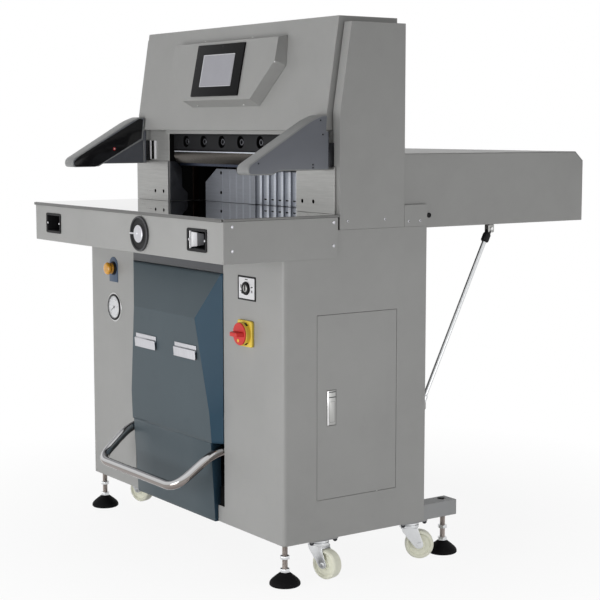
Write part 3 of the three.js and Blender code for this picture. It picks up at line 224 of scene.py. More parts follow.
class Form:
    """Collects skinned grids, each with a finish, and makes one object of them."""

    def __init__(self):
        self.points, self.faces, self.finish = [], [], []
        self.count = 0

    def skin(self, grid, finish=0, around=True, caps=(True, True), keep=None, ends=None):
        """Skins a grid of rows; `around` joins each row's ends, caps close the end rows."""
        rows, columns = grid.shape[:2]
        index = np.arange(rows * columns).reshape(rows, columns) + self.count
        ahead = np.roll(index, -1, 1)
        quads = np.stack([index[:-1], ahead[:-1], ahead[1:], index[1:]], -1)
        if not around:
            quads = quads[:, :-1]
        if keep is not None:
            quads = quads[keep]
        made = quads.reshape(-1, 4).tolist()
        if caps[0]:
            made.append(index[0, ::-1].tolist())
        if caps[1]:
            made.append(index[-1].tolist())
        self.points.append(grid.reshape(-1, 3))
        self.faces += made
        closing = sum(caps)
        self.finish += [finish] * (len(made) - closing)
        self.finish += [finish if ends is None else ends] * closing
        self.count += rows * columns
        return self

    def plate(self, curve, low, high, plane, edge=1.0, finish=0, ends=None):
        """A plate with rounded edges between two levels; `ends` is the finish of its faces."""
        rows = rounded_rows(min(low, high), max(low, high), edge)
        return self.skin(carried(curve, rows, plane), finish, ends=ends)

    def pierced(self, across, up, face, back, holes, radius, depth, finish=0, hollow=1):
        """A plate in cells between the values of `across` (x) and `up` (z), with blind holes.

        In a cell with a hole, rows run from the cell's edge to the circle at the same angle,
        over a small lip and down the bore. `holes` maps a cell's two indices to a centre."""
        last = (len(across) - 2, len(up) - 2)
        for i, j in np.ndindex(len(across) - 1, len(up) - 1):
            edge = cell_edge((across[i], up[j]), (across[i + 1], up[j + 1]))
            outer = [j == 0, i == last[0], j == last[1], i == 0]
            wall = np.insert(np.array([edge, edge]), 1, 0.0, axis=2)
            wall[:, :, 1] = np.array([[back], [face]])
            solid_front = (i, j) not in holes
            keep = np.repeat(outer, len(edge) // 4)[None, :]
            self.skin(wall, finish, caps=(True, solid_front), keep=keep)
            if solid_front:
                continue
            centre = np.array(holes[i, j], float)
            ray = edge - centre
            ray /= np.linalg.norm(ray, axis=1, keepdims=True)
            circles = [centre + ray * r for r in (radius + 0.6, radius, radius)]
            rows = np.insert(np.array([edge, *circles]), 1, 0.0, axis=2)
            rows[:, :, 1] = np.array([[face], [face], [face + 0.6], [face + depth]])
            self.skin(rows[:3], finish, caps=OPEN)
            self.skin(rows[2:], hollow, caps=(False, True))
        return self

    def turn(self, profile, centre, direction=(0, 0, 1), finish=0, sides=48, reach=0.6,
             caps=(True, True)):
        """A turned body, its profile's corners softened."""
        grid = turned(soft_path(profile, reach, 3), centre, direction, sides)
        return self.skin(grid, finish, caps=caps)

    def bar(self, start, end, radius, finish=0, sides=24):
        """A round bar with a small chamfer at each end."""
        start, end = np.asarray(start, float), np.asarray(end, float)
        length = np.linalg.norm(end - start)
        small = radius * 0.12
        profile = [(radius - small, 0), (radius, small), (radius, length - small),
                   (radius - small, length)]
        return self.skin(turned(profile, start, end - start, sides), finish)

    def screw(self, centre, direction, radius=4.0, finish=0, hollow=0):
        """A button-head screw whose round socket shows the finish `hollow`."""
        r = radius
        head = [(r, 0), (r, 0.15 * r), (0.85 * r, 0.42 * r), (0.5 * r, 0.6 * r)]
        self.skin(turned(head, centre, direction, 20), finish, caps=(True, False))
        socket = [(0.5 * r, 0.6 * r), (0.45 * r, 0.2 * r)]
        return self.skin(turned(socket, centre, direction, 20), hollow, caps=(False, True))

    def nut(self, centre, direction, width, height, finish=0):
        """A hexagon nut with chamfered corners."""
        u, v, w = upright(direction)
        rows = rounded_rows(0, height, 0.6)
        grid = carried(ring(width / 2 / math.cos(math.pi / 6), 6), rows, "z")
        return self.skin(grid @ np.array([u, v, w]) + np.asarray(centre), finish)

    def build(self, name, finishes, body="machine", slot=None, stands_for=(), wall=None,
              edge=None):
        """Makes the object in metres, with outward faces, and sets it riding on its body."""
        mesh = bpy.data.meshes.new(name)
        points = (np.concatenate(self.points) + DATUM) / 1000
        mesh.from_pydata(points.tolist(), [], self.faces)
        for finish in finishes:
            mesh.materials.append(finish)
        mesh.polygons.foreach_set("material_index", self.finish)
        mesh.polygons.foreach_set("use_smooth", [True] * len(self.faces))
        same_place, sharp = 1e-6, math.radians(32)
        work = bmesh.new()
        work.from_mesh(mesh)
        bmesh.ops.remove_doubles(work, verts=work.verts, dist=same_place)
        bmesh.ops.recalc_face_normals(work, faces=work.faces)
        work.to_mesh(mesh)
        work.free()
        mesh.set_sharp_from_angle(angle=sharp)
        piece = bpy.data.objects.new(name, mesh)
        bpy.context.scene.collection.objects.link(piece)
        if wall:
            thick = piece.modifiers.new("wall", "SOLIDIFY")
            thick.thickness, thick.offset = wall / 1000, -1.0
        if edge:
            soften(piece, edge)
        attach(piece, body)
        if stands_for:
            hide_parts(*stands_for)
        return piece


def soften(piece, edge):
    """Rounds a piece's edges by a width in millimetres, and evens the shading of its faces."""
    soft = piece.modifiers.new("soft edges", "BEVEL")
    soft.width = edge / 1000
    soft.segments = 2
    soft.limit_method = "ANGLE"
    soft.angle_limit = math.radians(30)
    even = piece.modifiers.new("even shading", "WEIGHTED_NORMAL")
    even.keep_sharp = True


def dress(node, finish, edge=0.8, flank=None):
    """Gives a solid its finish and softens its edges: a weld, then a small bevel.

    With `flank`, the faces that don't face up get that finish instead."""
    solid = nodes[node]
    mesh = solid.data
    mesh.materials.clear()
    mesh.materials.append(finish)
    chosen = np.zeros(len(mesh.polygons), np.int32)
    if flank:
        mesh.materials.append(flank)
        normals = np.empty(len(mesh.polygons) * 3, np.float32)
        mesh.polygons.foreach_get("normal", normals)
        upward = 0.9
        chosen = (normals[2::3] < upward).astype(np.int32)
    mesh.polygons.foreach_set("material_index", chosen)
    mesh.polygons.foreach_set("use_smooth", [True] * len(mesh.polygons))
    weld = solid.modifiers.new("weld", "WELD")
    weld.merge_threshold = 2e-5
    soften(solid, edge)


# Shader values


class Value:
    """A shader socket; arithmetic on it adds Math nodes."""

    def __init__(self, graph, socket):
        self.graph, self.socket = graph, socket

    def math(self, operation, *others):
        inputs = dict(enumerate((self, *others)))
        return self.graph.add("ShaderNodeMath", {"operation": operation}, inputs)

    def __add__(self, other):
        return self.math("ADD", other)

    def __mul__(self, other):
        return self.math("MULTIPLY", other)

    __radd__, __rmul__ = __add__, __mul__


class Graph:
    """The node tree of a material, or of the world, with one way to add every node."""

    def __init__(self, name, world=False):
        self.owner = bpy.data.worlds.new(name) if world else bpy.data.materials.new(name)
        self.owner.use_nodes = True
        self.tree = self.owner.node_tree
        self.shader = self.tree.nodes["Background" if world else "Principled BSDF"]
        self.end = self.tree.nodes["World Output" if world else "Material Output"]

    def add(self, kind, settings=None, inputs=None, output=0):
        """Adds a node: its settings first (a ramp's under `stops`), then values or links."""
        node = self.tree.nodes.new(kind)
        for key, value in (settings or {}).items():
            if key == "stops":
                while len(node.color_ramp.elements) < len(value):
                    node.color_ramp.elements.new(0.5)
                for element, (place, colour) in zip(node.color_ramp.elements, value):
                    element.position, element.color = place, (*colour, 1)
            else:
                setattr(node, key, value)
        for key, value in (inputs or {}).items():
            self.put(node.inputs[key], value)
        return Value(self, node.outputs[output])

    def put(self, socket, value):
        if isinstance(value, Value):
            self.tree.links.new(value.socket, socket)
        elif socket.type == "RGBA" and len(value) == 3:
            socket.default_value = (*value, 1)
        else:
            socket.default_value = value

    def coords(self, stretch=(1, 1, 1)):
        """Object coordinates in metres, scaled along each axis."""
        place = self.add("ShaderNodeTexCoord", output=3)
        return self.add("ShaderNodeMapping", None, {"Vector": place, "Scale": stretch})

    def noise(self, scale, detail=3.0, rough=0.55, stretch=(1, 1, 1)):
        inputs = {"Vector": self.coords(stretch), "Scale": scale, "Detail": detail,
                  "Roughness": rough}
        return self.add("ShaderNodeTexNoise", None, inputs)

    def ramp(self, value, low, high):
        """Spreads a value between two limits over 0 to 1."""
        inputs = {"Value": value, "From Min": low, "From Max": high}
        return self.add("ShaderNodeMapRange", None, inputs)

    def blend(self, first, second, factor):
        """Mixes two colours."""
        node = {"data_type": "RGBA"}
        return self.add("ShaderNodeMix", node, {0: factor, 6: first, 7: second}, output=2)

    def bump(self, height, strength, distance=0.0004, under=None):
        inputs = {"Height": height, "Strength": strength, "Distance": distance}
        if under is not None:
            inputs["Normal"] = under
        return self.add("ShaderNodeBump", None, inputs)

    def finish(self, **sockets):
        """Sets or links the shader's sockets; an underscore in a name stands for a space."""
        for key, value in sockets.items():
            self.put(self.shader.inputs[key.replace("_", " ")], value)
        return self.owner

    def seen_as(self, kind, strength, share):
        """Shows plain white of a strength, by a share, to the camera, to metal and to glass."""
        rays = [self.add("ShaderNodeLightPath", output=f"Is {ray} Ray")
                for ray in ("Camera", "Glossy", "Transmission")]
        direct = rays[0].math("MAXIMUM", rays[1]).math("MAXIMUM", rays[2])
        white = self.add(kind, None, {"Color": (1, 1, 1), "Strength": strength})
        shown = self.add("ShaderNodeMixShader", None,
                         {0: direct * share, 1: Value(self, self.shader.outputs[0]), 2: white})
        self.tree.links.new(shown.socket, self.end.inputs["Surface"])
        return self.owner


def shade(colour, amount):
    """A colour made lighter (above 1) or darker (below 1)."""
    return tuple(min(1.0, channel * amount) for channel in colour)


def powder_coat(name, colour, roughness=0.42, tooth=0.16, gloss=0.5):
    """Baked powder paint: fine orange peel, faint clouds and a slightly uneven gloss."""
    g = Graph(name)
    clouds = g.noise(3.5, 4, 0.6)
    grain = g.noise(1100, 2, 0.5)
    marks = g.ramp(g.noise(26, 6, 0.7), 0.55, 0.8)
    tone = g.blend(shade(colour, 0.93), shade(colour, 1.05), g.ramp(clouds, 0.3, 0.7))
    tone = g.blend(tone, shade(colour, 0.86), marks * 0.25)
    rough = clouds * 0.12 + (roughness - 0.05) + marks * 0.06
    return g.finish(Base_Color=tone, Roughness=rough, Metallic=0.0, Specular_IOR_Level=gloss,
                    Normal=g.bump(grain, tooth, 0.0003))


def ground_steel(name, colour, roughness=0.2, along=(1, 1, 60), lines=0.25, scale=14, metal=1.0):
    """Ground steel: long fine scratches along one way, over faint clouds."""
    g = Graph(name)
    scratches = g.noise(scale, 5, 0.7, along)
    clouds = g.noise(5, 3, 0.5)
    tone = g.blend(shade(colour, 0.86), shade(colour, 1.08), g.ramp(scratches, 0.3, 0.7))
    tone = g.blend(tone, shade(colour, 0.9), g.ramp(clouds, 0.4, 0.8) * 0.5)
    rough = scratches * (roughness * 0.6) + clouds * (roughness * 0.4) + roughness * 0.5
    return g.finish(Base_Color=tone, Roughness=rough, Metallic=metal,
                    Normal=g.bump(scratches, lines, 0.0001))


def polished(name, colour, roughness=0.07):
    """Plated or polished metal with faint smears."""
    g = Graph(name)
    smears = g.noise(38, 4, 0.6, (1, 1, 0.4))
    tone = g.blend(shade(colour, 0.95), colour, smears)
    return g.finish(Base_Color=tone, Roughness=smears * 0.1 + (roughness - 0.04), Metallic=1.0)


def chrome_with_painted_reflection(name):
    """Chrome tube with a painted reflection set by the way each face points: pale above, brown grey
    below, and a dark line along its crown.
    """
    g = Graph(name)
    normal = g.add("ShaderNodeTexCoord", output=1)
    axes = g.add("ShaderNodeSeparateXYZ", None, {0: normal}, output=2)
    smears = g.noise(30, 4, 0.6, (1, 0.3, 0.3))
    height = g.ramp(axes + smears * 0.12, -1.0, 1.1)
    # Stops of the painted reflection, from faces pointing down to faces pointing up.
    stops = [(0.0, (0.10, 0.09, 0.085)), (0.22, (0.20, 0.17, 0.16)), (0.44, (0.28, 0.25, 0.235)),
             (0.58, (0.25, 0.225, 0.21)), (0.64, (0.48, 0.48, 0.48)), (0.84, (0.54, 0.54, 0.55)),
             (0.91, (0.14, 0.14, 0.15)), (1.0, (0.30, 0.30, 0.31))]
    tone = g.add("ShaderNodeValToRGB", {"stops": stops}, {0: height})
    return g.finish(Base_Color=tone, Roughness=smears * 0.08 + 0.05, Metallic=1.0)


def zinc_plate(name, colour):
    """Bright zinc: soft crystal patches that differ in tone and gloss."""
    g = Graph(name)
    patch = g.add("ShaderNodeTexVoronoi", None, {"Vector": g.coords(), "Scale": 420.0},
                  output=1)
    patches = g.add("ShaderNodeSeparateColor", None, {0: patch})
    tone = g.blend(shade(colour, 0.94), colour, patches)
    return g.finish(Base_Color=tone, Roughness=patches * 0.08 + 0.28, Metallic=1.0)


def moulded(name, colour, roughness=0.4, tooth=0.2, coat=0.0, gloss=0.5):
    """Moulded plastic: fine spark-eroded grain, faint flow marks."""
    g = Graph(name)
    grain = g.noise(1500, 2, 0.5)
    flow = g.noise(22, 3, 0.5)
    tone = g.blend(shade(colour, 0.9), shade(colour, 1.06), flow)
    return g.finish(Base_Color=tone, Roughness=flow * 0.12 + (roughness - 0.06), Metallic=0.0,
                    Coat_Weight=coat, Specular_IOR_Level=gloss,
                    Normal=g.bump(grain, tooth, 0.0002))


def black_oxide(name, colour, roughness=0.38):
    """Blackened machined steel: faint tool lines and an oily, uneven gloss."""
    g = Graph(name)
    lines = g.noise(60, 3, 0.6, (1, 1, 14))
    oil = g.noise(18, 4, 0.6)
    tone = g.blend(shade(colour, 0.7), shade(colour, 1.25), g.ramp(oil, 0.3, 0.7))
    return g.finish(Base_Color=tone, Roughness=oil * 0.25 + (roughness - 0.12), Metallic=0.85,
                    Normal=g.bump(lines, 0.15, 0.0001))


def threaded(name, colour):
    """Zinc bar with a 2 mm screw thread as a bump along its upright axis, and painted shade
    darkening the thread's troughs.
    """
    g = Graph(name)
    axes = g.add("ShaderNodeSeparateXYZ", None, {0: g.coords()}, output=2)
    thread = (axes * (2 * math.pi / 0.002)).math("SINE")
    # Painted shade: the thread's troughs are darker.
    tone = g.blend(shade(colour, 0.55), colour, g.ramp(thread, -1.0, 1.0))
    return g.finish(Base_Color=tone, Roughness=0.32, Metallic=1.0,
                    Normal=g.bump(thread, 0.8, 0.0006))


def painted_shade_black(name):
    """Painted shade: near-black that stands in for the shade inside a hole, a slot or a gap, and
    gives back hardly any light.
    """
    g = Graph(name)
    dust = g.noise(70, 3, 0.5)
    tone = g.blend((0.002, 0.002, 0.0022), (0.006, 0.006, 0.006), dust)
    return g.finish(Base_Color=tone, Roughness=dust * 0.1 + 0.85, Specular_IOR_Level=0.1)


def clear_glass(name):
    """Thin flat glass: nearly clear, with a sharp reflection."""
    g = Graph(name)
    film = g.noise(30, 2, 0.5)
    return g.finish(Base_Color=(0.9, 0.92, 0.94), Roughness=film * 0.04, Alpha=0.12,
                    Specular_IOR_Level=0.8)


def display(name, colour):
    """A lit panel behind glass: pale lavender with faint rows and columns of pixels."""
    g = Graph(name)
    wave = g.noise(24, 3, 0.6)
    fine = g.noise(420, 1, 0.4, (1, 1, 3))
    tone = g.blend(shade(colour, 0.9), shade(colour, 1.1), wave * 0.6 + fine * 0.4)
    return g.finish(Base_Color=tone, Roughness=0.22, Coat_Weight=0.4)


# Sizes and colours that a user may change


def colour_property(name, description, value):
    return bpy.props.FloatVectorProperty(
        name=name, description=description, default=value, subtype="COLOR", min=0, max=1, size=3
    )


def length_property(name, description, value):
    return bpy.props.FloatProperty(
        name=name, description=description, default=value / 1000, unit="LENGTH", min=0.0001
    )


class CutterColours(bpy.types.PropertyGroup):
    """Colours of the paints, plastics and metals, as linear values."""

    panel: colour_property("Panels", "Warm light grey of the sheets", (0.355, 0.355, 0.348))
    side: colour_property("Arms", "Bluish grey of the guard arms", (0.155, 0.165, 0.19))
    arm_edge: colour_property("Arm edges", "Grey of the sheet round the arms", (0.25, 0.255, 0.255))
    cover: colour_property("Front cover", "Slate blue of the front cover", (0.078, 0.102, 0.117))
    # Painted shade: a deeper blue for the cheeks and the toe's sides of the front cover.
    cover_painted_shade: colour_property("Cover sides", "The cover's blue where it turns to the side",
                                (0.034, 0.075, 0.115))
    # Header: dark blue-grey paint with the apron's shade painted in.
    header: colour_property("Header", "Strip over the front cover", (0.085, 0.088, 0.095))
    frame: colour_property("Frame", "Grey of the base and the columns", (0.33, 0.335, 0.34))
    steel: colour_property("Ground steel", "Ground plates, table and gauge", (0.42, 0.42, 0.41))
    gauge: colour_property("Back gauge", "Bluish ground steel of the gauge", (0.36, 0.38, 0.43))
    # The blade's steel is darkened far below real steel: painted shade and dark reflections of the
    # throat.
    blade: colour_property("Blade", "Ground tool steel of the knife", (0.085, 0.077, 0.069))
    dark: colour_property("Dark steel", "Blackened beams and bolts", (0.035, 0.036, 0.04))
    clamp: colour_property("Clamp", "Blue black of the clamp's lower band", (0.02, 0.03, 0.06))
    chrome: colour_property("Chrome", "Plated parts", (0.80, 0.80, 0.80))
    zinc: colour_property("Zinc", "Plated forks, stays and screws", (0.62, 0.63, 0.64))
    aluminium: colour_property("Aluminium", "Pull grips", (0.60, 0.60, 0.63))
    black: colour_property("Black plastic", "Cups, wheel and knob", (0.012, 0.012, 0.013))
    cream: colour_property("Caster wheels", "Cream nylon", (0.93, 0.93, 0.78))
    amber: colour_property("Amber", "Push button", (0.72, 0.33, 0.012))
    red: colour_property("Red", "Main switch handle", (0.62, 0.012, 0.008))
    yellow: colour_property("Yellow", "Main switch box", (0.86, 0.62, 0.07))
    white: colour_property("White", "Dial and plates", (0.80, 0.80, 0.82))
    screen: colour_property("Screen", "Lit display", (0.33, 0.33, 0.37))
    legend: colour_property("Legend plate", "Blue plate of the push button", (0.075, 0.11, 0.175))


class CutterSizes(bpy.types.PropertyGroup):
    """Sizes of the small parts."""

    screw: length_property("Panel screw", "Head radius of the panel screws", 4.2)
    small_screw: length_property("Small screw", "Head radius of the trim screws", 2.6)
    hole: length_property("Bolt hole", "Radius of the open bolt holes", 5.0)
    bolt: length_property("Knife bolt", "Radius of the counterbores of the knife bolts", 17.0)
    bolt_pitch: length_property("Bolt pitch", "Spacing of the knife bolts", 95.5)
    edge: length_property("Sheet edge", "Rounding of the folded sheet edges", 1.0)


def colours():
    return bpy.context.scene.cutter_colours


def sizes():
    return bpy.context.scene.cutter_sizes


def mm(value):
    """A length property in millimetres."""
    return value * 1000


made = {}


def finish_of(name):
    """Makes each material once."""
    c = colours()
    recipes = {
        "panel": lambda: powder_coat("panel paint", c.panel),
        "arm": lambda: powder_coat("arm paint", c.side, 0.38, gloss=0.35),
        "arm edge": lambda: powder_coat("arm edge paint", c.arm_edge, 0.38),
        "cover": lambda: powder_coat("cover paint", c.cover, 0.36, 0.1, 0.15),
        # The cheek finish is the cover's blue deepened as painted shade.
        "cover painted shade": lambda: powder_coat("cover painted shade paint", c.cover_painted_shade, 0.36, 0.1, 0.1),
        "header": lambda: powder_coat("header paint", c.header, 0.4, 0.1, 0.2),
        "frame": lambda: powder_coat("frame paint", c.frame, 0.5),
        "table": lambda: ground_steel("table steel", shade(c.steel, 1.1), 0.02, (30, 1, 1), 0.0),
        "plate": lambda: ground_steel("plate steel", c.steel, 0.34, (1, 1, 24), 0.12, metal=0.7),
        "gauge": lambda: ground_steel("gauge steel", c.gauge, 0.42, (1, 1, 20), 0.1, metal=0.35),
        "blade": lambda: ground_steel("blade steel", c.blade, 0.26, (1, 1, 30), 0.1,
                                      scale=5),
        "dark": lambda: black_oxide("dark steel", c.dark),
        "clamp": lambda: black_oxide("clamp steel", c.clamp, 0.3),
        "bolt": lambda: black_oxide("bolt steel", shade(c.dark, 2.2), 0.25),
        "cheek": lambda: black_oxide("cheek steel", shade(c.dark, 1.9), 0.45),
        # pit: near-black painted shade for holes, slots, gaps and the throat walls
        "pit": lambda: painted_shade_black("painted shade black"),
        "bronze": lambda: black_oxide("oiled bronze", (0.03, 0.018, 0.014), 0.35),
        # edge: the gauge steel much lighter, a painted highlight for the gauge's lands and the
        # blade's top edge
        "edge": lambda: ground_steel("painted highlight steel", shade(c.gauge, 2.3), 0.3, (1, 1, 40), 0.1,
                                     metal=0.4),
        # band: faint painted highlight for the shaded ribs of the gauge's plain part
        "band": lambda: ground_steel("faint painted rib highlight", shade(c.gauge, 1.25), 0.36, (1, 1, 40), 0.1,
                                     metal=0.35),
        "window": lambda: moulded("guard window", c.black, 0.12, 0.01, 0.1, 0.25),
        "column": lambda: ground_steel("column steel", shade(c.steel, 1.1), 0.4, (1, 1, 20), 0.1,
                                       metal=0.5),
        "chrome": lambda: polished("chrome", c.chrome),
        "satin": lambda: polished("satin metal", c.aluminium, 0.28),
        "bezel ring": lambda: polished("bezel ring", shade(c.chrome, 0.75), 0.16),
        # carrier: dark steel darkened further, painting the throat's shade on the knife beam
        "carrier": lambda: black_oxide("carrier painted shade steel", shade(c.dark, 0.45), 0.45),
        # recess: the gauge steel lightened, painted light in the comb's recesses
        "recess": lambda: ground_steel("gauge recess painted light", shade(c.gauge, 1.7), 0.4, (1, 1, 20), 0.1,
                                       metal=0.3),
        "zinc": lambda: zinc_plate("zinc plate", c.zinc),
        "thread": lambda: threaded("threaded bar", (0.54, 0.47, 0.43)),
        "aluminium": lambda: ground_steel("aluminium", c.aluminium, 0.34, (40, 1, 1), 0.25),
        "black": lambda: moulded("black plastic", c.black, 0.45, gloss=0.14),
        "rubber": lambda: moulded("black rubber", shade(c.black, 0.6), 0.6, 0.4, gloss=0.06),
        # rim: dark grey, a painted highlight on the wheel rim and a dark painted reflection on the
        # paddles
        "rim": lambda: moulded("dark grey painted sheen", shade(c.black, 5), 0.4, 0.2, gloss=0.25),
        # tube: chrome with a painted reflection, for the pedal
        "tube": lambda: chrome_with_painted_reflection("tube chrome painted reflection"),
        # nose: a much darker copy of the table's steel, painted shade for its sides and nose
        "nose": lambda: ground_steel("table edge painted shade", shade(c.steel, 0.36), 0.4, (30, 1, 1), 0.05,
                                     metal=0.4),
        "rail": lambda: polished("grey rail", shade(c.steel, 0.85), 0.3),
        "dim": lambda: polished("dim metal", shade(c.steel, 0.3), 0.3),
        # strip: pale plastic for pale screws, also the painted reflection on the paddles and the
        # column strips
        "strip": lambda: moulded("pale strip", c.white, 0.3, 0.03, 0.3),
        "arm face": lambda: powder_coat("arm face paint", shade(c.side, 0.7), 0.38, gloss=0.2),
        "bezel": lambda: moulded("screen bezel", c.black, 0.25, 0.02, gloss=0.03),
        "cream": lambda: moulded("cream nylon", c.cream, 0.42, 0.1),
        "amber": lambda: moulded("amber plastic", c.amber, 0.25, 0.02, 0.5),
        "red": lambda: moulded("red plastic", c.red, 0.35, 0.1),
        "yellow": lambda: moulded("yellow plastic", c.yellow, 0.4, 0.15),
        "white": lambda: moulded("white enamel", c.white, 0.35, 0.03, 0.3),
        "legend": lambda: moulded("legend plate", c.legend, 0.35, 0.05, gloss=0.2),
        "glass": lambda: clear_glass("dial glass"),
        "display": lambda: display("display", c.screen),
    }
    if name not in made:
        made[name] = recipes[name]()
    return made[name]


def finishes(*names):
    return [finish_of(name) for name in names]


class CutterStep:
    """What every step shares."""

    bl_options = {"REGISTER"}


class CUTTER_OT_stage(CutterStep, bpy.types.Operator):
    """Sets up the floor, the light and the camera."""

    bl_idname = "cutter.stage"
    bl_label = "Stage"

    def execute(self, context):
        scene = context.scene
        scene.view_settings.view_transform = "Standard"
        lens = bpy.data.cameras.new("camera")
        lens.lens, lens.sensor_width = 89.382, 36
        lens.clip_start, lens.clip_end = 0.05, 100
        camera = bpy.data.objects.new("camera", lens)
        eye, dip, turn = np.array([3440.59, -1831.68, 1125.59]), 6.5878, 55.063
        camera.location = (eye + DATUM) / 1000
        camera.rotation_euler = (math.radians(90 - dip), 0, math.radians(turn))
        scene.collection.objects.link(camera)
        scene.camera = camera
        studio = Graph("studio", world=True)
        studio.finish(Color=(1, 1, 1), Strength=0.33)
        scene.world = studio.seen_as("ShaderNodeBackground", 1.0, 1.0)
        self.lay_floor()
        lamps = (
            ("front light", (0.3, -2.8, 0.3), (0, -0.3, 0.5), 1.8, 47),
            ("high light", (1.0, -3.0, 3.0), (0, 0, 1.0), 2.6, 2),
            ("side light", (2.2, 0.4, 0.15), (0, 0.3, 0.4), 1.2, 11),
        )
        for name, spot, target, size, power in lamps:
            data = bpy.data.lights.new(name, "AREA")
            data.energy, data.size = power, size
            lamp = bpy.data.objects.new(name, data)
            lamp.location = spot
            aim = Vector(target) - Vector(spot)
            lamp.rotation_euler = aim.to_track_quat("-Z", "Y").to_euler()
            lamp.visible_camera = False
            scene.collection.objects.link(lamp)
        return {"FINISHED"}

    def lay_floor(self):
        """A round pale floor: it keeps the machine's shadow and turns plain white further out."""
        g = Graph("pale floor")
        tone = g.blend((0.86, 0.86, 0.86), (0.9, 0.9, 0.9), g.noise(2, 3, 0.5))
        g.finish(Base_Color=tone, Roughness=0.8)
        place = g.add("ShaderNodeTexCoord", output=3)
        away = g.add("ShaderNodeVectorMath", {"operation": "LENGTH"}, {0: place}, output=1)
        near, far, least = 0.6, 1.5, 0.9
        share = g.add("ShaderNodeMapRange", None, {"Value": away, "From Min": near,
                                                   "From Max": far, "To Min": least, "To Max": 1.0})
        g.seen_as("ShaderNodeEmission", 1.0, share)
        radius, corners = 60000, 96
        circle = ring(radius, corners)
        points = (np.insert(circle, 2, 0.0, 1) + DATUM) / 1000
        mesh = bpy.data.meshes.new("floor")
        mesh.from_pydata(points.tolist(), [], [list(range(corners))])
        mesh.materials.append(g.owner)
        floor = bpy.data.objects.new("floor", mesh)
        bpy.context.scene.collection.objects.link(floor)


class CUTTER_OT_solids(CutterStep, bpy.types.Operator):
    """Finishes the solids whose shapes stay: sheets, plates, columns and beams."""

    bl_idname = "cutter.solids"
    bl_label = "Carried solids"

    def execute(self, context):
        edge = mm(sizes().edge)
        kept = {
            "panel": ("cabinet_shell", "cabinet_rear_panel", "side_door", "table_apron", "hood",
                      "hood_rear_panel", "side_cover_left", "side_cover_right", "rear_wall_left",
                      "rear_wall_right", "rear_cover", "console_housing"),
            "frame": ("base_frame", "crosshead", "hydraulic_unit"),
            "column": ("column_left", "column_right"),
            "dark": ("clamp_beam", "knife_cylinder", "lead_screw"),
            "blade": ("knife_blade",),
            "gauge": ("back_gauge",),
        }
        wide = {"console_housing": 1.6, "base_frame": 2.0, "hydraulic_unit": 3.0,
                "crosshead": 2.0}
        for finish, names in kept.items():
            for name in names:
                dress(name, finish_of(finish), wide.get(name, edge))
        # Faces of the table and rear bed that don't face up take the darker copy of their steel:
        # painted shade.
        for name in ("work_table", "rear_bed"):
            dress(name, finish_of("table"), edge, finish_of("nose"))
        self.add_nose()
        return {"FINISHED"}

    def add_nose(self):
        """A thin rounded strip along the table's front edge."""
        low, high = span("work_table")
        section = rectangle(5, 8, 2.4, (low[1] - 2.6, high[2] - 4.4))
        # The strip takes the darker steel of painted shade.
        Form().plate(section, low[0] - 1, high[0] - 3, "x", 2.0).build(
            "table_nose", finishes("nose"), slot="ground_steel")


class CUTTER_OT_feet(CutterStep, bpy.types.Operator):
    """Makes the levelling feet: domed pad, threaded stud and two nuts."""

    bl_idname = "cutter.feet"
    bl_label = "Levelling feet"

    def execute(self, context):
        dome = [(36, 0), (39, 2), (39, 8), (35, 14), (26, 22), (17, 29), (13, 32.5), (7.5, 33)]
        for place in PLACES:
            name = f"levelling_foot_{place}"
            low, high = span(name)
            x, y = middle(low, high, "z")
            form = Form().turn(dome, (x, y, 0), reach=3)
            form.nut((x, y, 33.2), (0, 0, 1), 22, 9, 1)
            form.nut((x, y, high[2] - 78), (0, 0, 1), 22, 8, 1)
            form.bar((x, y, 30), (x, y, high[2]), 6.8, 2)
            form.build(f"foot_{place}", finishes("rubber", "zinc", "thread"),
                       slot="dark_steel", stands_for=(name,))
        return {"FINISHED"}


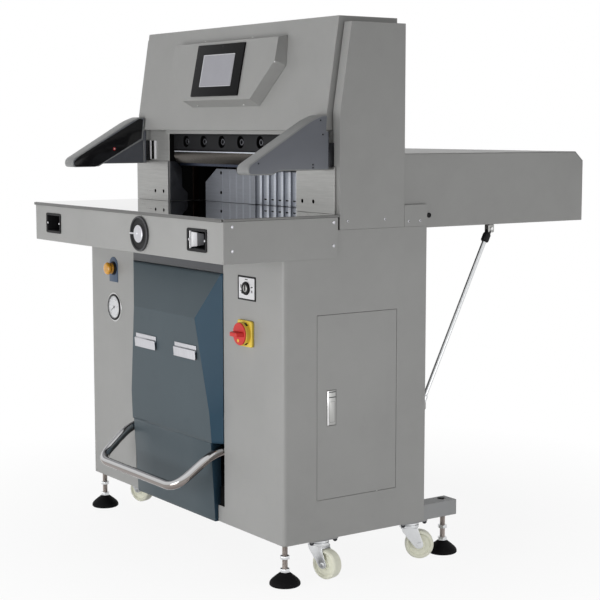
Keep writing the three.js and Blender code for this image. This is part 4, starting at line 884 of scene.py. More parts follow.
class CUTTER_OT_casters(CutterStep, bpy.types.Operator):
    """Makes the casters: raced fork with its axle bolt, and the nylon wheel."""

    bl_idname = "cutter.casters"
    bl_label = "Casters"

    def execute(self, context):
        for place in PLACES:
            self.make_fork(place)
            self.make_wheel(place)
        return {"FINISHED"}

    def make_wheel(self, place):
        """Rim, thin web and hub, turned about the axle."""
        hub, axis = joint_place(f"caster_spin_{place}")
        profile = [(5.6, -14.6), (12, -14.6), (13.5, -10), (22, -9), (27, -9), (30, -14.5),
                   (34.5, -14.5), (37.4, -10.5), (37.4, 10.5), (34.5, 14.5), (30, 14.5), (27, 9),
                   (22, 9), (13.5, 10), (12, 14.6), (5.6, 14.6)]
        form = Form()
        form.skin(turned(soft_path(profile, 1.6, 4), hub, axis), caps=OPEN)
        bore = [(5.6, 14.6), (5.6, -14.6)]
        form.skin(turned(bore, hub, axis), 1, caps=OPEN)
        form.build(f"nylon_wheel_{place}", finishes("cream", "zinc"), f"caster_wheel_{place}",
                   "cream_nylon", (f"caster_wheel_{place}",))

    def make_fork(self, place):
        """Two pressed legs under a domed crown and a ball race."""
        pin, _ = joint_place(f"caster_swivel_{place}")
        hub, axis = joint_place(f"caster_spin_{place}")
        top = span(f"caster_fork_{place}")[1][2]
        foot = np.array([pin[0], pin[1], 0.0])
        trail = np.append((hub - pin)[:2], 0.0)
        reach = np.linalg.norm(trail)
        ahead = trail / reach
        form = Form()
        crown = [(25.5, top - 13), (25.8, top - 9), (25.8, top - 6.5), (23, top - 6),
                 (23, top - 4.6), (25.8, top - 4), (25.8, top - 0.3), (24, top)]
        form.turn(crown, foot, reach=0.5)
        leg = np.array([(-20, top - 13), (-19, top - 22), (reach - 10, hub[2] - 8),
                        (reach, hub[2] - 10), (reach + 10, hub[2] - 5), (reach + 10, hub[2] + 4),
                        (23, top - 18), (23, top - 13)])
        outline = soft_path(leg, 5, 4, closed=True)
        axes = np.array([ahead, axis, (0, 0, 1)])
        inner, outer = 15.7, 18.3
        for curve, near, far, plane in ((outline, -outer, -inner, "y"),
                                        (outline, inner, outer, "y"),
                                        (rectangle(44, 36.6, 3), top - 15.6, top - 12.6, "z")):
            form.skin(carried(curve, rounded_rows(near, far, 0.6), plane) @ axes + foot)
        form.bar(hub - axis * 19.4, hub + axis * 19.4, 4.9)
        for way in (axis, -axis):
            form.nut(hub + way * 18.4, way, 13, 3)
        form.build(f"pressed_fork_{place}", finishes("zinc"), f"caster_fork_{place}",
                   "zinc_steel", (f"caster_fork_{place}",))


class CUTTER_OT_front_cover(CutterStep, bpy.types.Operator):
    """Makes the blue front cover, its grips and the strip above it."""

    bl_idname = "cutter.front_cover"
    bl_label = "Front cover"

    def execute(self, context):
        self.face = span("cabinet_shell")[0][1]
        self.make_cover()
        self.make_header()
        for flank, _ in FLANKS:
            self.make_grip(flank)
        return {"FINISHED"}

    def levels(self):
        """The cover's levels: height, depth in front of the cabinet, and width of a cheek."""
        low, high = span("front_cover")
        deep = self.face - low[1]
        top = high[2]
        return np.array([(low[2], 10.5, 14), (top - 362, 27.5, 28), (top - 119, deep, 74),
                         (top, 3, 5)])

    def make_cover(self):
        """Each level runs from the sides up the sloping cheeks to the flat front.

        Below the slots' top only the toe between them goes on, with its sides turned back to the
        cabinet. Cheeks and sides get a deeper blue than the front, as painted shade."""
        low, high = span("front_cover")
        bend = soft_path(self.levels(), 2.5, 4)
        slot_top, sill, inset = 315, 149, 29.2
        above = bend[bend[:, 0] > slot_top, 0]
        z = np.unique(np.concatenate([np.linspace(slot_top, high[2], 60), above]))
        depth, width = [np.interp(z, bend[:, 0], bend[:, i])[:, None] for i in (1, 2)]
        rise = np.array([0, 0.02, 0.04, 0.5, 0.94, 0.97, 1])
        left = low[0] + width * rise
        right = high[0] - width * rise[::-1]
        shares = np.array([0.01, 0.03, 0.25, 0.5, 0.75, 0.97, 0.99])
        front = left[:, -1:] + (right[:, :1] - left[:, -1:]) * shares
        x = np.concatenate([left, front, right], 1)
        lift = np.concatenate([rise, np.ones(len(shares)), rise[::-1]])
        y = self.face - 1.5 - (depth - 1.5) * lift
        upper = np.stack([x, y, np.broadcast_to(z[:, None], x.shape)], -1)
        below = np.linspace(low[2], sill - 1.1, 8)
        z = np.concatenate([below, np.linspace(sill + 1, slot_top, 24)])
        depth = np.interp(z, bend[:, 0], bend[:, 1])
        rear = np.where(z < sill, self.face - 1, self.face + 8.5)
        shares = np.array([0, 0, 0.004, 0.25, 0.5, 0.75, 0.996, 1, 1])
        x = low[0] + inset + (high[0] - low[0] - 2 * inset) * shares
        y = np.repeat((self.face - depth)[:, None], len(shares), 1)
        y[:, [0, -1]] = rear[:, None]
        y[:, [1, -2]] += 0.6
        toe = np.stack([np.broadcast_to(x, y.shape), y, np.repeat(z[:, None], len(shares), 1)], -1)
        form = Form()
        for grid, fold in ((upper, len(rise)), (toe, 2)):
            # Finish 1, on the cheeks and the toe's sides, is the deeper blue of painted shade.
            for finish, columns in ((1, grid[:, :fold]), (0, grid[:, fold - 1:1 - fold]),
                                    (1, grid[:, -fold:])):
                form.skin(columns, finish, around=False, caps=OPEN)
        form.build("creased_cover", finishes("cover", "cover painted shade"), slot="blue_paint",
                   stands_for=("front_cover",), wall=2)
        self.shade_slots(low, high, inset)

    def shade_slots(self, low, high, inset):
        """Painted shade: a near-black plate in each slot, below the pedal's swing, and a near-black
        screen behind the toe, where the cabinet's shaded inside shows.
        """
        form = Form()
        for edge, side in ((low[0] + inset, -1), (high[0] - inset, 1)):
            patch = rectangle(26, 73, 1, (edge + side * 13.5, 159.5))
            form.plate(patch, self.face + 7, self.face + 8.4, "y", 0.3)
        screen = rectangle(380, 180, 2, ((low[0] + high[0]) / 2, 200))
        form.plate(screen, self.face + 58, self.face + 59.5, "y", 0.4)
        form.build("slot_painted_shade", finishes("pit"), slot="dark_steel")

    def make_header(self):
        """The thin blue-grey strip between the cover and the apron, its dark tone also painting the
        shade under the apron.
        """
        low, high = span("front_cover")
        roof = span("table_apron")[0][2] + 30
        strip = between((low[0], high[2] + 1.4), (high[0], roof))
        Form().plate(strip, self.face - 1.2, self.face - 0.2, "y", 0.4).build(
            "header_strip", finishes("header"), slot="blue_paint")

    def make_grip(self, flank):
        """A folded aluminium strip: flange on the cover, step, and a lip to pull."""
        low, high = span(f"cover_grip_{flank}")
        levels = self.levels()
        foot, top = low[2], high[2]

        def bed(z):
            return self.face - np.interp(z, levels[:, 0], levels[:, 1]) - 0.3

        ledge, waist = top - 10, (foot + top) / 2
        front = np.array([(bed(top), top), (bed(top) - 2.6, top), (bed(ledge) - 2.6, ledge),
                          (bed(ledge) - 7.6, ledge - 2.6), (bed(foot + 4) - 7.2, foot + 4)])
        lip = np.array([(bed(foot) - 8.2, foot + 2.4), (bed(foot) - 7.2, foot)])
        back = np.array([(bed(foot) - 4.2, foot), (bed(waist) - 4.6, waist),
                         (bed(waist + 3), waist + 3)])
        outline = soft_path(np.concatenate([front, lip, back]), 0.9, 3, closed=True)
        form = Form().plate(outline, low[0], high[0], "x", 0.5)
        form.build(f"pull_grip_{flank}", finishes("aluminium"), slot="grip_aluminium",
                   stands_for=(f"cover_grip_{flank}",))


class CUTTER_OT_pedal(CutterStep, bpy.types.Operator):
    """Makes the foot pedal of bent chromed tube, with its shaft."""

    bl_idname = "cutter.pedal"
    bl_label = "Foot pedal"

    def execute(self, context):
        low, high = span("foot_pedal")
        pivot, _ = joint_place("pedal_swing")
        cover = span("front_cover")
        left, right = cover[0][0] + 13, cover[1][0] - 13
        knee, front, foot = 154.0, low[1] + 12, low[2] + 12
        corners = [
            (right, pivot[1], pivot[2]), (right, knee, pivot[2]),
            (right - 17, front, foot), (left + 17, front, foot),
            (left, knee, pivot[2]), (left, pivot[1], pivot[2])]
        path = soft_path(corners, 46, 14)
        form = Form().skin(swept(path, 12, 24))
        form.bar((low[0], pivot[1], pivot[2]), (high[0], pivot[1], pivot[2]), 9.9, 1)
        for x in (left, right):
            form.bar((x - 12, pivot[1], pivot[2]), (x + 12, pivot[1], pivot[2]), 15.5, 1)
        form.build("tube_pedal", finishes("tube", "zinc"), "foot_pedal", "chrome",
                   ("foot_pedal",))
        return {"FINISHED"}


class CUTTER_OT_door(CutterStep, bpy.types.Operator):
    """Makes the flush latch of the service door, and a band of painted shade that shows as a dark
    line round the door.
    """

    bl_idname = "cutter.door"
    bl_label = "Door latch"

    def execute(self, context):
        low, high = span("door_latch")
        y, z = middle(low, high, "x")
        width, height = high[1] - low[1] - 1.2, high[2] - low[2]
        out = high[0]
        form = Form().plate(rectangle(width, height, 2, (y, z)), out - 3, out, "x", 0.6)
        grip = rectangle(width - 9, height * 0.6, 2, (y + 2, z - height * 0.12))
        rows = [(0, out + 0.05), (0.6, out + 0.2), (1.2, out - 1.2), (2.2, out - 1.6)]
        form.skin(carried(grip, rows, "x"), 1, caps=(False, True))
        rail = rectangle(4, height, 1.5, (low[1] + 2.6, z))
        form.plate(rail, out - 1, out + 0.7, "x", 0.5, 2)
        # The grooves are thin dark strips: painted shade for their depth.
        for level in (high[2] - 4, high[2] - 17):
            groove = rectangle(width - 5, 2.4, 0.6, (y + 2, level))
            form.plate(groove, out - 1, out + 0.3, "x", 0.2, 3)
        form.build("latch_paddle", finishes("rail", "dim", "chrome", "dark"), "door_latch",
                   "chrome", ("door_latch",))
        self.shade_door_gap()
        return {"FINISHED"}

    def shade_door_gap(self):
        """Painted shade: a near-black band round the door's edge, which shows as a dark line in the
        gap.
        """
        low, high = span("side_door")
        edge = between(low[1:] - 0.35, high[1:] + 0.35, 0.4)
        rows = [(0, low[0] + 1), (0, high[0] - 2.4), (0.3, high[0] - 2.4), (0.3, low[0] + 1)]
        Form().skin(carried(edge, rows, "x"), caps=OPEN).build(
            "door_gap_shade", finishes("pit"), "side_door", "black_plastic")


class CUTTER_OT_switches(CutterStep, bpy.types.Operator):
    """Makes the two recessed cut switches: black cup, pale screws and metal paddle."""

    bl_idname = "cutter.switches"
    bl_label = "Cut switches"

    def execute(self, context):
        for flank, side in FLANKS:
            self.make_cup(flank)
            self.make_paddle(flank, side)
        return {"FINISHED"}

    def make_cup(self, flank):
        """A flange with rounded corners that turns into a deep tapered recess."""
        low, high = span(f"switch_cup_{flank}")
        x, z = middle(low, high, "y")
        face, back = low[1], high[1]
        outline = between(low[[0, 2]], high[[0, 2]], 6)
        rows = [(4.5, back), (4.5, -0.2), (0.3, -0.2), (0, face + 0.8), (0.8, face),
                (4.8, face), (6.4, face + 1.2), (6.9, face + 4), (7.2, back - 2.2), (9, back - 2)]
        form = Form().skin(carried(outline, rows, "y"))
        for offset in (-1, 1):
            form.screw((x + offset * 36.5, face + 1.6, z), FRONT, 3.0, 1, 1)
        form.build(f"black_cup_{flank}", finishes("black", "strip"), slot="black_plastic",
                   stands_for=(f"switch_cup_{flank}",))

    def make_paddle(self, flank, side):
        """A tapered flap on its upright pin, painted white beside the pin and dark grey beyond: a
        painted reflection on its metal.
        """
        pin, _ = joint_place(f"cut_paddle_{flank}_press")
        foot, top = [corner[2] for corner in span(f"cut_paddle_{flank}")]
        opening = 40
        turn = math.radians(opening if side > 0 else 180 - opening)
        along = np.array([math.cos(turn), math.sin(turn), 0])
        out = np.array([math.sin(turn), -math.cos(turn), 0]) * side
        axes = np.array([along, out, (0, 0, 1)])
        form = Form()
        # Finish 0 is the white and finish 1 the dark grey of the painted reflection.
        for finish, near, far, tall in ((0, 1, 18, (19, 16.2)), (1, 18.2, 35.5, (16.2, 13))):
            flap = np.array([(near, -tall[0]), (far, -tall[1]), (far, tall[1]), (near, tall[0])])
            outline = soft_path(flap, 1.2, 3, closed=True)
            form.skin(carried(outline, rounded_rows(-1, 1, 0.5), "y") @ axes + pin, finish)
        form.bar((pin[0], pin[1], foot), (pin[0], pin[1], top), 2.6)
        form.build(f"metal_paddle_{flank}", finishes("strip", "rim"), f"cut_paddle_{flank}",
                   "chrome", (f"cut_paddle_{flank}",))


class CUTTER_OT_hand_wheel(CutterStep, bpy.types.Operator):
    """Makes the dished hand wheel with its rim, bright hub and bar; the rim's grey is a painted
    highlight on black plastic.
    """

    bl_idname = "cutter.hand_wheel"
    bl_label = "Hand wheel"

    def execute(self, context):
        hub, _ = joint_place("hand_wheel_turn")
        rear = span("hand_wheel")[1][1]
        centre = np.array([hub[0], -1.0, hub[2]])
        dish = [(6, 0.2), (40.6, 0.2), (40.6, 4.4), (38.6, 4.6), (37, 2.4), (30, 2), (22, 2)]
        form = Form().turn(dish, centre, FRONT, 0, 72)
        # The rim's lighter grey is a painted highlight on the black plastic.
        rim = [(40.4, 0.2), (43.4, 0.2), (45, 1.8), (45, 4.2), (43.4, 5.9), (41.4, 5.9),
               (40.4, 4.8)]
        loop = soft_path(rim, 0.8, 3, closed=True)
        loop = np.concatenate([loop, loop[:1]])
        form.skin(turned(loop, centre, FRONT, 72), 2, caps=OPEN)
        cap = [(22.4, 1.5), (22.8, 5.4), (21.4, 6.9), (12, 7), (6, 7), (4.6, 6.7), (4.2, 5.8)]
        form.turn(cap, centre, FRONT, 1, 56)
        form.bar(centre + [-43.6, -4.4, 0], centre + [-20, -4.4, 0], 2.5, 1)
        form.bar(centre + [0, -1, 0], centre + [0, rear + 1, 0], 6.9, 1)
        form.build("dished_wheel", finishes("black", "satin", "rim"), "hand_wheel",
                   "black_plastic", ("hand_wheel",))
        return {"FINISHED"}


class CUTTER_OT_controls(CutterStep, bpy.types.Operator):
    """Makes the controls on the cabinet front: button, selector, gauge and main switch."""

    bl_idname = "cutter.controls"
    bl_label = "Cabinet controls"

    def execute(self, context):
        self.face = span("cabinet_shell")[0][1]
        self.make_button()
        self.make_selector()
        self.make_gauge()
        self.make_main_switch()
        return {"FINISHED"}

    def centre(self, node):
        """The middle x and z of a control, and the point there on the cabinet's front."""
        x, z = middle(*span(node), "y")
        return x, z, (x, self.face, z)

    def lay(self, form, outline, near, far, edge, finish=0):
        """Adds a plate between two distances in front of the cabinet."""
        return form.plate(outline, self.face - far, self.face - near, "y", edge, finish)

    def make_button(self):
        """A mushroom cap on its neck, over a legend plate with an arched top."""
        x, z, spot = self.centre("amber_button")
        cap = [(11, -20), (11, 6), (14.6, 7), (16, 9), (15.6, 13), (12.4, 15), (12.4, 16.4),
               (17, 17.4), (18, 19.4), (17.4, 24), (14, 27), (8, 28), (3, 28)]
        form = Form().turn(cap, spot, FRONT, reach=1.0)
        form.build("mushroom_cap", finishes("amber"), "amber_button", "amber_plastic",
                   ("amber_button",))
        angle = np.linspace(0, np.pi, 24)
        half, drop, rise = 25, 39.5, 7.5
        arch = np.stack([np.cos(angle), np.sin(angle)], -1) * half + [0, rise]
        outline = np.concatenate([arch, [(-half, -drop), (half, -drop)]]) + [x - 1, z]
        plate = self.lay(Form(), outline, 0.1, 1.6, 0.4)
        collar = [(16.6, 0.2), (19.4, 0.2), (19.4, 5), (18.4, 6), (16.6, 6)]
        plate.turn(collar, spot, FRONT, 1, 40, 0.4)
        plate.build("legend_plate", finishes("legend", "black"), slot="blue_paint")

    def make_selector(self):
        """A ring round a keyed centre, on a white plate with a black border."""
        x, z, spot = self.centre("selector_knob")
        dial = [(5, -20), (5, 1.8), (16.6, 1.8), (17, 3.4), (16, 6.2), (13.4, 6.9), (10, 6.6),
                (9.8, 4.4), (6, 4.4)]
        form = Form().turn(dial, spot, FRONT, reach=0.5)
        form.turn([(9.7, 4.2), (9.7, 5.8), (8.6, 6.5), (4, 6.6)], spot, FRONT, 1, 40, 0.4)
        self.lay(form, rectangle(4.6, 14.6, 2.0, (x, z + 1)), 6.3, 6.9, 0.15)
        self.lay(form, rectangle(11, 8, 2.4, (x - 12, z - 10)), 2, 5.6, 0.8)
        form.build("selector_grip", finishes("black", "rail"), "selector_knob",
                   "black_plastic", ("selector_knob",))
        plate = self.lay(Form(), rectangle(82, 61, 2.5, (x + 1, z)), 0.1, 1.2, 0.3, 1)
        self.lay(plate, rectangle(71, 52.5, 1.5, (x + 1, z)), 1.0, 1.5, 0.15)
        for dx, dz, wide, tall in ((-25, 4, 3, 9), (-25, -8, 5, 2), (25, 4, 7, 3), (25, -7, 4, 6),
                                   (0, 22, 12, 2)):
            mark = rectangle(wide, tall, 0.5, (x + dx, z + dz))
            self.lay(plate, mark, 1.4, 1.65, 0.05, 1)
        plate.build("selector_plate", finishes("white", "black"), slot="black_plastic")

    def make_gauge(self):
        """A bright ring round a black cone, and a white dial with its scale, needle and glass."""
        x, z, spot = self.centre("pressure_gauge")
        case = [(34, -28), (34, 0.2), (41.9, 0.2), (41.9, 0.8), (41.2, 1.3), (38.2, 1.3)]
        cone = [(38.2, 1.3), (37.2, 3.2), (34.6, 3.9)]
        rim = [(34.6, 3.9), (33.0, 3.9), (30.8, 1.5)]
        form = Form().turn(case, spot, FRONT, 0, 72, 0.3, (True, False))
        form.turn(cone, spot, FRONT, 2, 72, 0.6, OPEN)
        form.turn(rim, spot, FRONT, 2, 72, 0.4, OPEN)
        form.skin(turned([(30.8, 1.5), (26, 1.52)], spot, FRONT, 72), 1, caps=(False, True))
        for i, angle in enumerate(np.radians(np.linspace(-135, 135, 41))):
            length, wide = ((6.5, 1.0) if i % 8 == 0 else (4.2, 0.6) if i % 4 == 0 else (2.6, 0.4))
            tick = [(-wide / 2, 29 - length), (wide / 2, 29 - length), (wide / 2, 29),
                    (-wide / 2, 29)]
            self.lay(form, rotated(tick, -angle) + [x, z], 1.48, 1.68, 0.02, 2)
        form.build("dial_case", finishes("bezel ring", "white", "black"), slot="chrome",
                   stands_for=("pressure_gauge",))
        hand = rotated([(-5, -1.6), (22, -0.8), (22, 0.8), (-5, 1.6)], math.radians(213))
        far = span("gauge_needle")[1][1]
        hands = Form().plate(hand + [x, z], far - 0.6, far, "y", 0.15)
        hands.turn([(3.6, 0), (3.6, 0.9), (2.8, 1.3), (1, 1.3)], (x, far, z), FRONT, 0, 24, 0.3)
        hands.build("dial_hand", finishes("black"), "gauge_needle", "black_plastic",
                    ("gauge_needle",))
        glass = Form().turn([(33, 3.4), (33, 3.75), (20, 3.8), (4, 3.8)], spot, FRONT, 0, 56, 0.1)
        glass.build("dial_window", finishes("glass"), slot="screen_bezel")

    def make_main_switch(self):
        """A yellow plate with a slotted collar, and a red disc with its grip bar."""
        low, high = span("main_switch_box")
        x, z, spot = self.centre("main_switch_box")
        form = Form().plate(rectangle(66, 66, 7, (x, z)), high[1] - 7.7, high[1], "y", 2.0)
        radius = 29.9
        collar = [(20, 5), (radius, 5), (radius, 20), (29, 20.8), (20, 20.8)]
        form.turn(collar, spot, FRONT, 0, 72, 0.5)
        slot = carried(rectangle(11, 6, 1.5), rounded_rows(-2, 0.3, 0.1), "z")
        for up in (-1, 1):
            angle = math.radians(56) * up
            away = np.array([math.cos(angle), 0, math.sin(angle)])
            back = np.array([0.0, 1.0, 0.0])
            axes = np.array([np.cross(back, away), back, away])
            form.skin(slot @ axes + [x, self.face - 13.5, z] + away * radius, 1)
        form.build("yellow_box", finishes("yellow", "black"), slot="yellow_plastic",
                   stands_for=("main_switch_box",))
        out = span("main_switch_handle")[0][1]
        back = low[1] - 0.3
        disc = [(6, -11), (6, 0), (28.7, 0), (28.7, 2), (27.6, 3), (20, 3.2)]
        grip = Form().turn(disc, (x, back, z), FRONT, 0, 64)
        bar = np.array([(out, -15), (back - 2, -24), (back - 2, 24), (out, 15)])
        outline = soft_path(bar, 3, 4, closed=True)[:, ::-1] + [x, 0]
        grip.plate(outline, z - 5.5, z + 5.5, "z", 1.6)
        eye = [(4, 0), (4, 0.5), (3, 0.6)]
        grip.turn(eye, (x - 3, back - 3.0, z - 17), FRONT, 1, 24, 0.1)
        grip.build("red_handle", finishes("red", "yellow"), "main_switch_handle", "red_plastic",
                   ("main_switch_handle",))


class CUTTER_OT_arms(CutterStep, bpy.types.Operator):
    """Makes the guard arms: body, dark window, lamp, screws and mount."""

    bl_idname = "cutter.arms"
    bl_label = "Guard arms"

    def execute(self, context):
        for flank, side in FLANKS:
            self.make_body(flank, side)
            self.make_window(flank, side)
        return {"FINISHED"}

    def make_body(self, flank, side):
        """A wedge with soft corners, a web and a rim on its inner face, screws and its mount."""
        low, high = span(f"guard_arm_{flank}")
        inner, outer = sorted((low[0], high[0]), key=abs)
        tip, foot, crown = low[1], low[2], high[2]
        nose = tip - (8 if side < 0 else 3)
        corners = np.array([
            (nose, foot), (nose, foot + 22), (tip + 180.4, foot + 130.7), (tip + 213, crown),
            (tip + 229, crown), (tip + 226.4, 1119.3), (tip + 233.9, 1119.3),
            (tip + 233.9, foot + 9), (tip + 85.9, foot + 9), (tip + 68.4, foot)])
        reach = np.array([12, 15, 24, 10, 6, 0.5, 0.5, 2, 7, 7])[:, None, None]
        outline = soft_corners(corners, reach, 6)
        form = Form().plate(outline, inner, outer, "x", 3.0, 2, 0)
        web = soft_path([(166, 1024.6), (311, 1091), (311, 1025)], 1.5, 2, closed=True)
        form.plate(web, inner - side * 0.5, inner + side * 0.5, "x", 0.2, 3)
        rim = rectangle(3.4, 60, 1, (313.4, 1057))
        form.plate(rim, inner - side * 0.9, inner + side * 0.5, "x", 0.3, 2)
        rear, column = tip + 228, span("column_left")[0][1]
        mount_low, mount_high = 1031.2, 1089.2
        mount = between((rear, mount_low), (column - 0.4, mount_high), 0.8)
        form.plate(mount, outer - side * 1.2, inner + side * 10, "x", 0.5, 1)
        pad = between((rear + 5.5, mount_low), (rear + 14.5, mount_high), 0.5)
        form.plate(pad, inner + side * 1.2, inner + side * 9.8, "x", 0.5, 1)
        screws = ((115.3, 1041.9), (273.6, 1037), (273.6, 1029.5), (296.3, 1144), (303.2, 1109.8))
        for y, z in screws:
            form.screw((outer, y, z), (side, 0, 0), 2.2, 1, 1)
        form.build(f"guard_body_{flank}", finishes("arm", "dark", "arm edge", "arm face"),
                   slot="arm_paint", stands_for=(f"guard_arm_{flank}",))

    def make_window(self, flank, side):
        """A glossy black panel with a bright edge over the inner face, and a small red lamp."""
        low, high = span(f"guard_arm_{flank}")
        inner = min((low[0], high[0]), key=abs)
        shape = np.array([(89, 1015.4), (84, 1028), (100, 1044), (299, 1152.6), (311, 1150.6),
                          (304.6, 1095.4), (157, 1015.4)])
        reach = np.array([8, 8, 8, 3, 2, 2, 2])[:, None, None]
        edge = np.array([(158.5, 1015.4), (306.2, 1094.2), (312.6, 1148), (315.2, 1147),
                         (309.4, 1091.6), (163.5, 1015.4)])
        form = Form().plate(edge, inner - side * 1.2, inner + side * 0.4, "x", 0.3, 1)
        panel = soft_corners(shape, reach, 5)
        form.plate(panel, inner - side * 1.0, inner + side * 0.4, "x", 0.3, 0)
        lamp = [(4.4, 0), (4.4, 0.5), (3.0, 0.9)]
        spot = np.array([inner - side * 0.9, 215.3, 1065.3])
        form.turn(lamp, spot, (-side, 0, 0), 2, 24, 0.2)
        form.turn([(1.9, 0.8), (1.9, 1.1), (0.5, 1.2)], spot, (-side, 0, 0), 3, 16, 0.1)
        form.build(f"guard_window_{flank}", finishes("window", "arm edge", "red", "white"),
                   slot="screen_bezel")


class CUTTER_OT_console(CutterStep, bpy.types.Operator):
    """Makes the touch screen and the screws of the console."""

    bl_idname = "cutter.console"
    bl_label = "Console"

    def execute(self, context):
        low, high = span("touch_screen")
        x, z = middle(low, high, "y")
        # The console's foot stands 8 mm further out from the hood than its top, 180 mm above.
        hood_lean, taper = math.radians(8.87), 8 / 180
        lean = math.atan(math.tan(hood_lean) + taper)
        sine, cosine = math.sin(lean), math.cos(lean)
        thick = 4
        width, height = high[0] - low[0], (high[2] - low[2] - thick * sine) / cosine
        self.origin = (x, low[1] + thick * cosine + height / 2 * sine, z)
        self.axes = np.array([(1, 0, 0), (0, cosine, -sine), (0, sine, cosine)])
        form = Form()
        self.lay(form, rectangle(width, height, 3), rounded_rows(-3.8, 0, 0.8), 0)
        wide, tall, border, lift = 154, 84, 3.6, -1.0
        rows = [(0, -3.8), (0, -4.3), (0.6, -4.4), (1.8, -3.7)]
        self.lay(form, rectangle(wide + border, tall + border, 1, (0, lift)), rows, 1)
        rows = [(0, -3.75), (0.2, -4.0)]
        self.lay(form, rectangle(wide, tall, 0.6, (0, lift)), rows, 2)
        form.build("touch_panel", finishes("bezel", "satin", "display"), slot="screen_bezel",
                   stands_for=("touch_screen",))
        self.add_screws()
        return {"FINISHED"}

    def lay(self, form, outline, rows, finish):
        """Lays a plate on the leaning face; its rows count inwards from that face."""
        form.skin(carried(outline, rows, "y") @ self.axes + self.origin, finish)

    def add_screws(self):
        """Small chrome screws on the top, the right cheek and the foot of the housing."""
        radius = mm(sizes().small_screw)
        form = Form()
        for x in (-118, 119):
            form.screw((x, 338, 1361.7), (0, -0.1, 1), radius)
        form.screw((264.2, 309, 1292.6), (0.93, -0.37, 0), radius - 0.4)
        for x in (-110, 123):
            form.screw((x, 306, 1185.4), (0, -0.42, -0.9), radius)
        form.build("console_screws", finishes("chrome"), slot="chrome")


class CUTTER_OT_knife(CutterStep, bpy.types.Operator):
    """Makes the knife beam with its bolts and slanting bar, the blade's ledge, a clamp band."""

    bl_idname = "cutter.knife"
    bl_label = "Knife and clamp"

    def execute(self, context):
        low, high = span("knife_beam")
        blade_low, blade_high = span("knife_blade")
        top, foot = low[2] + 105, blade_high[2] + 5
        radius, pitch = mm(sizes().bolt), mm(sizes().bolt_pitch)
        fourth, height, depth = 44.2, 1087.5, 14
        centres = [(fourth + pitch * step, height) for step in range(-3, 3)]
        joins = [(a[0] + b[0]) / 2 for a, b in zip(centres, centres[1:])]
        holes = {(i, 0): centre for i, centre in enumerate(centres)}
        # The counterbores' bores take the near-black painted shade.
        form = Form().pierced([low[0], *joins, high[0]], [foot, top], low[1], high[1] - 0.2,
                              holes, radius, depth)
        head = [(9.5, 0), (9.5, 9), (8.6, 10), (5.2, 10), (5.0, 5)]
        for x, z in centres:
            form.turn(head, (x, low[1] + depth - 0.1, z), FRONT, 2, 28, 0.3)
        neck = cell_edge((low[1] + 10.5, low[2]), (high[1] - 0.2, foot + 0.2), 2)
        form.plate(neck, low[0], high[0], "x", 0.2)
        slant, length = math.radians(10), 112
        start = np.array([-150, middle(*span("knife_cylinder"), "x")[0], top - 6])
        end = start + np.array([-math.sin(slant), 0, math.cos(slant)]) * length
        form.bar(start, end, 6.8, 3)
        # The beam takes the carrier steel darkened as painted shade.
        form.build("knife_carrier", finishes("carrier", "pit", "bolt", "chrome"), "knife",
                   "dark_steel", ("knife_beam",))
        # The ledge is a strip of bright steel: a painted highlight along the blade's top edge.
        out, top = blade_low[1] - 0.6, blade_high[2] + 0.5
        ledge = sheet_outline([(out, top - 2.6), (out, top), (out + 3.6, top)], -0.5)
        Form().plate(ledge, blade_low[0] + 2, blade_high[0] - 2, "x", 0.1).build(
            "blade_ledge", finishes("edge"), "knife", "ground_steel")
        low, high = span("clamp_beam")
        band = between((low[0], low[2] + 0.5), (high[0], low[2] + 20.5))
        Form().plate(band, low[1] - 1.8, low[1] - 0.2, "y", 0.5).build(
            "clamp_band", finishes("clamp"), "clamp_beam", "dark_steel")
        return {"FINISHED"}


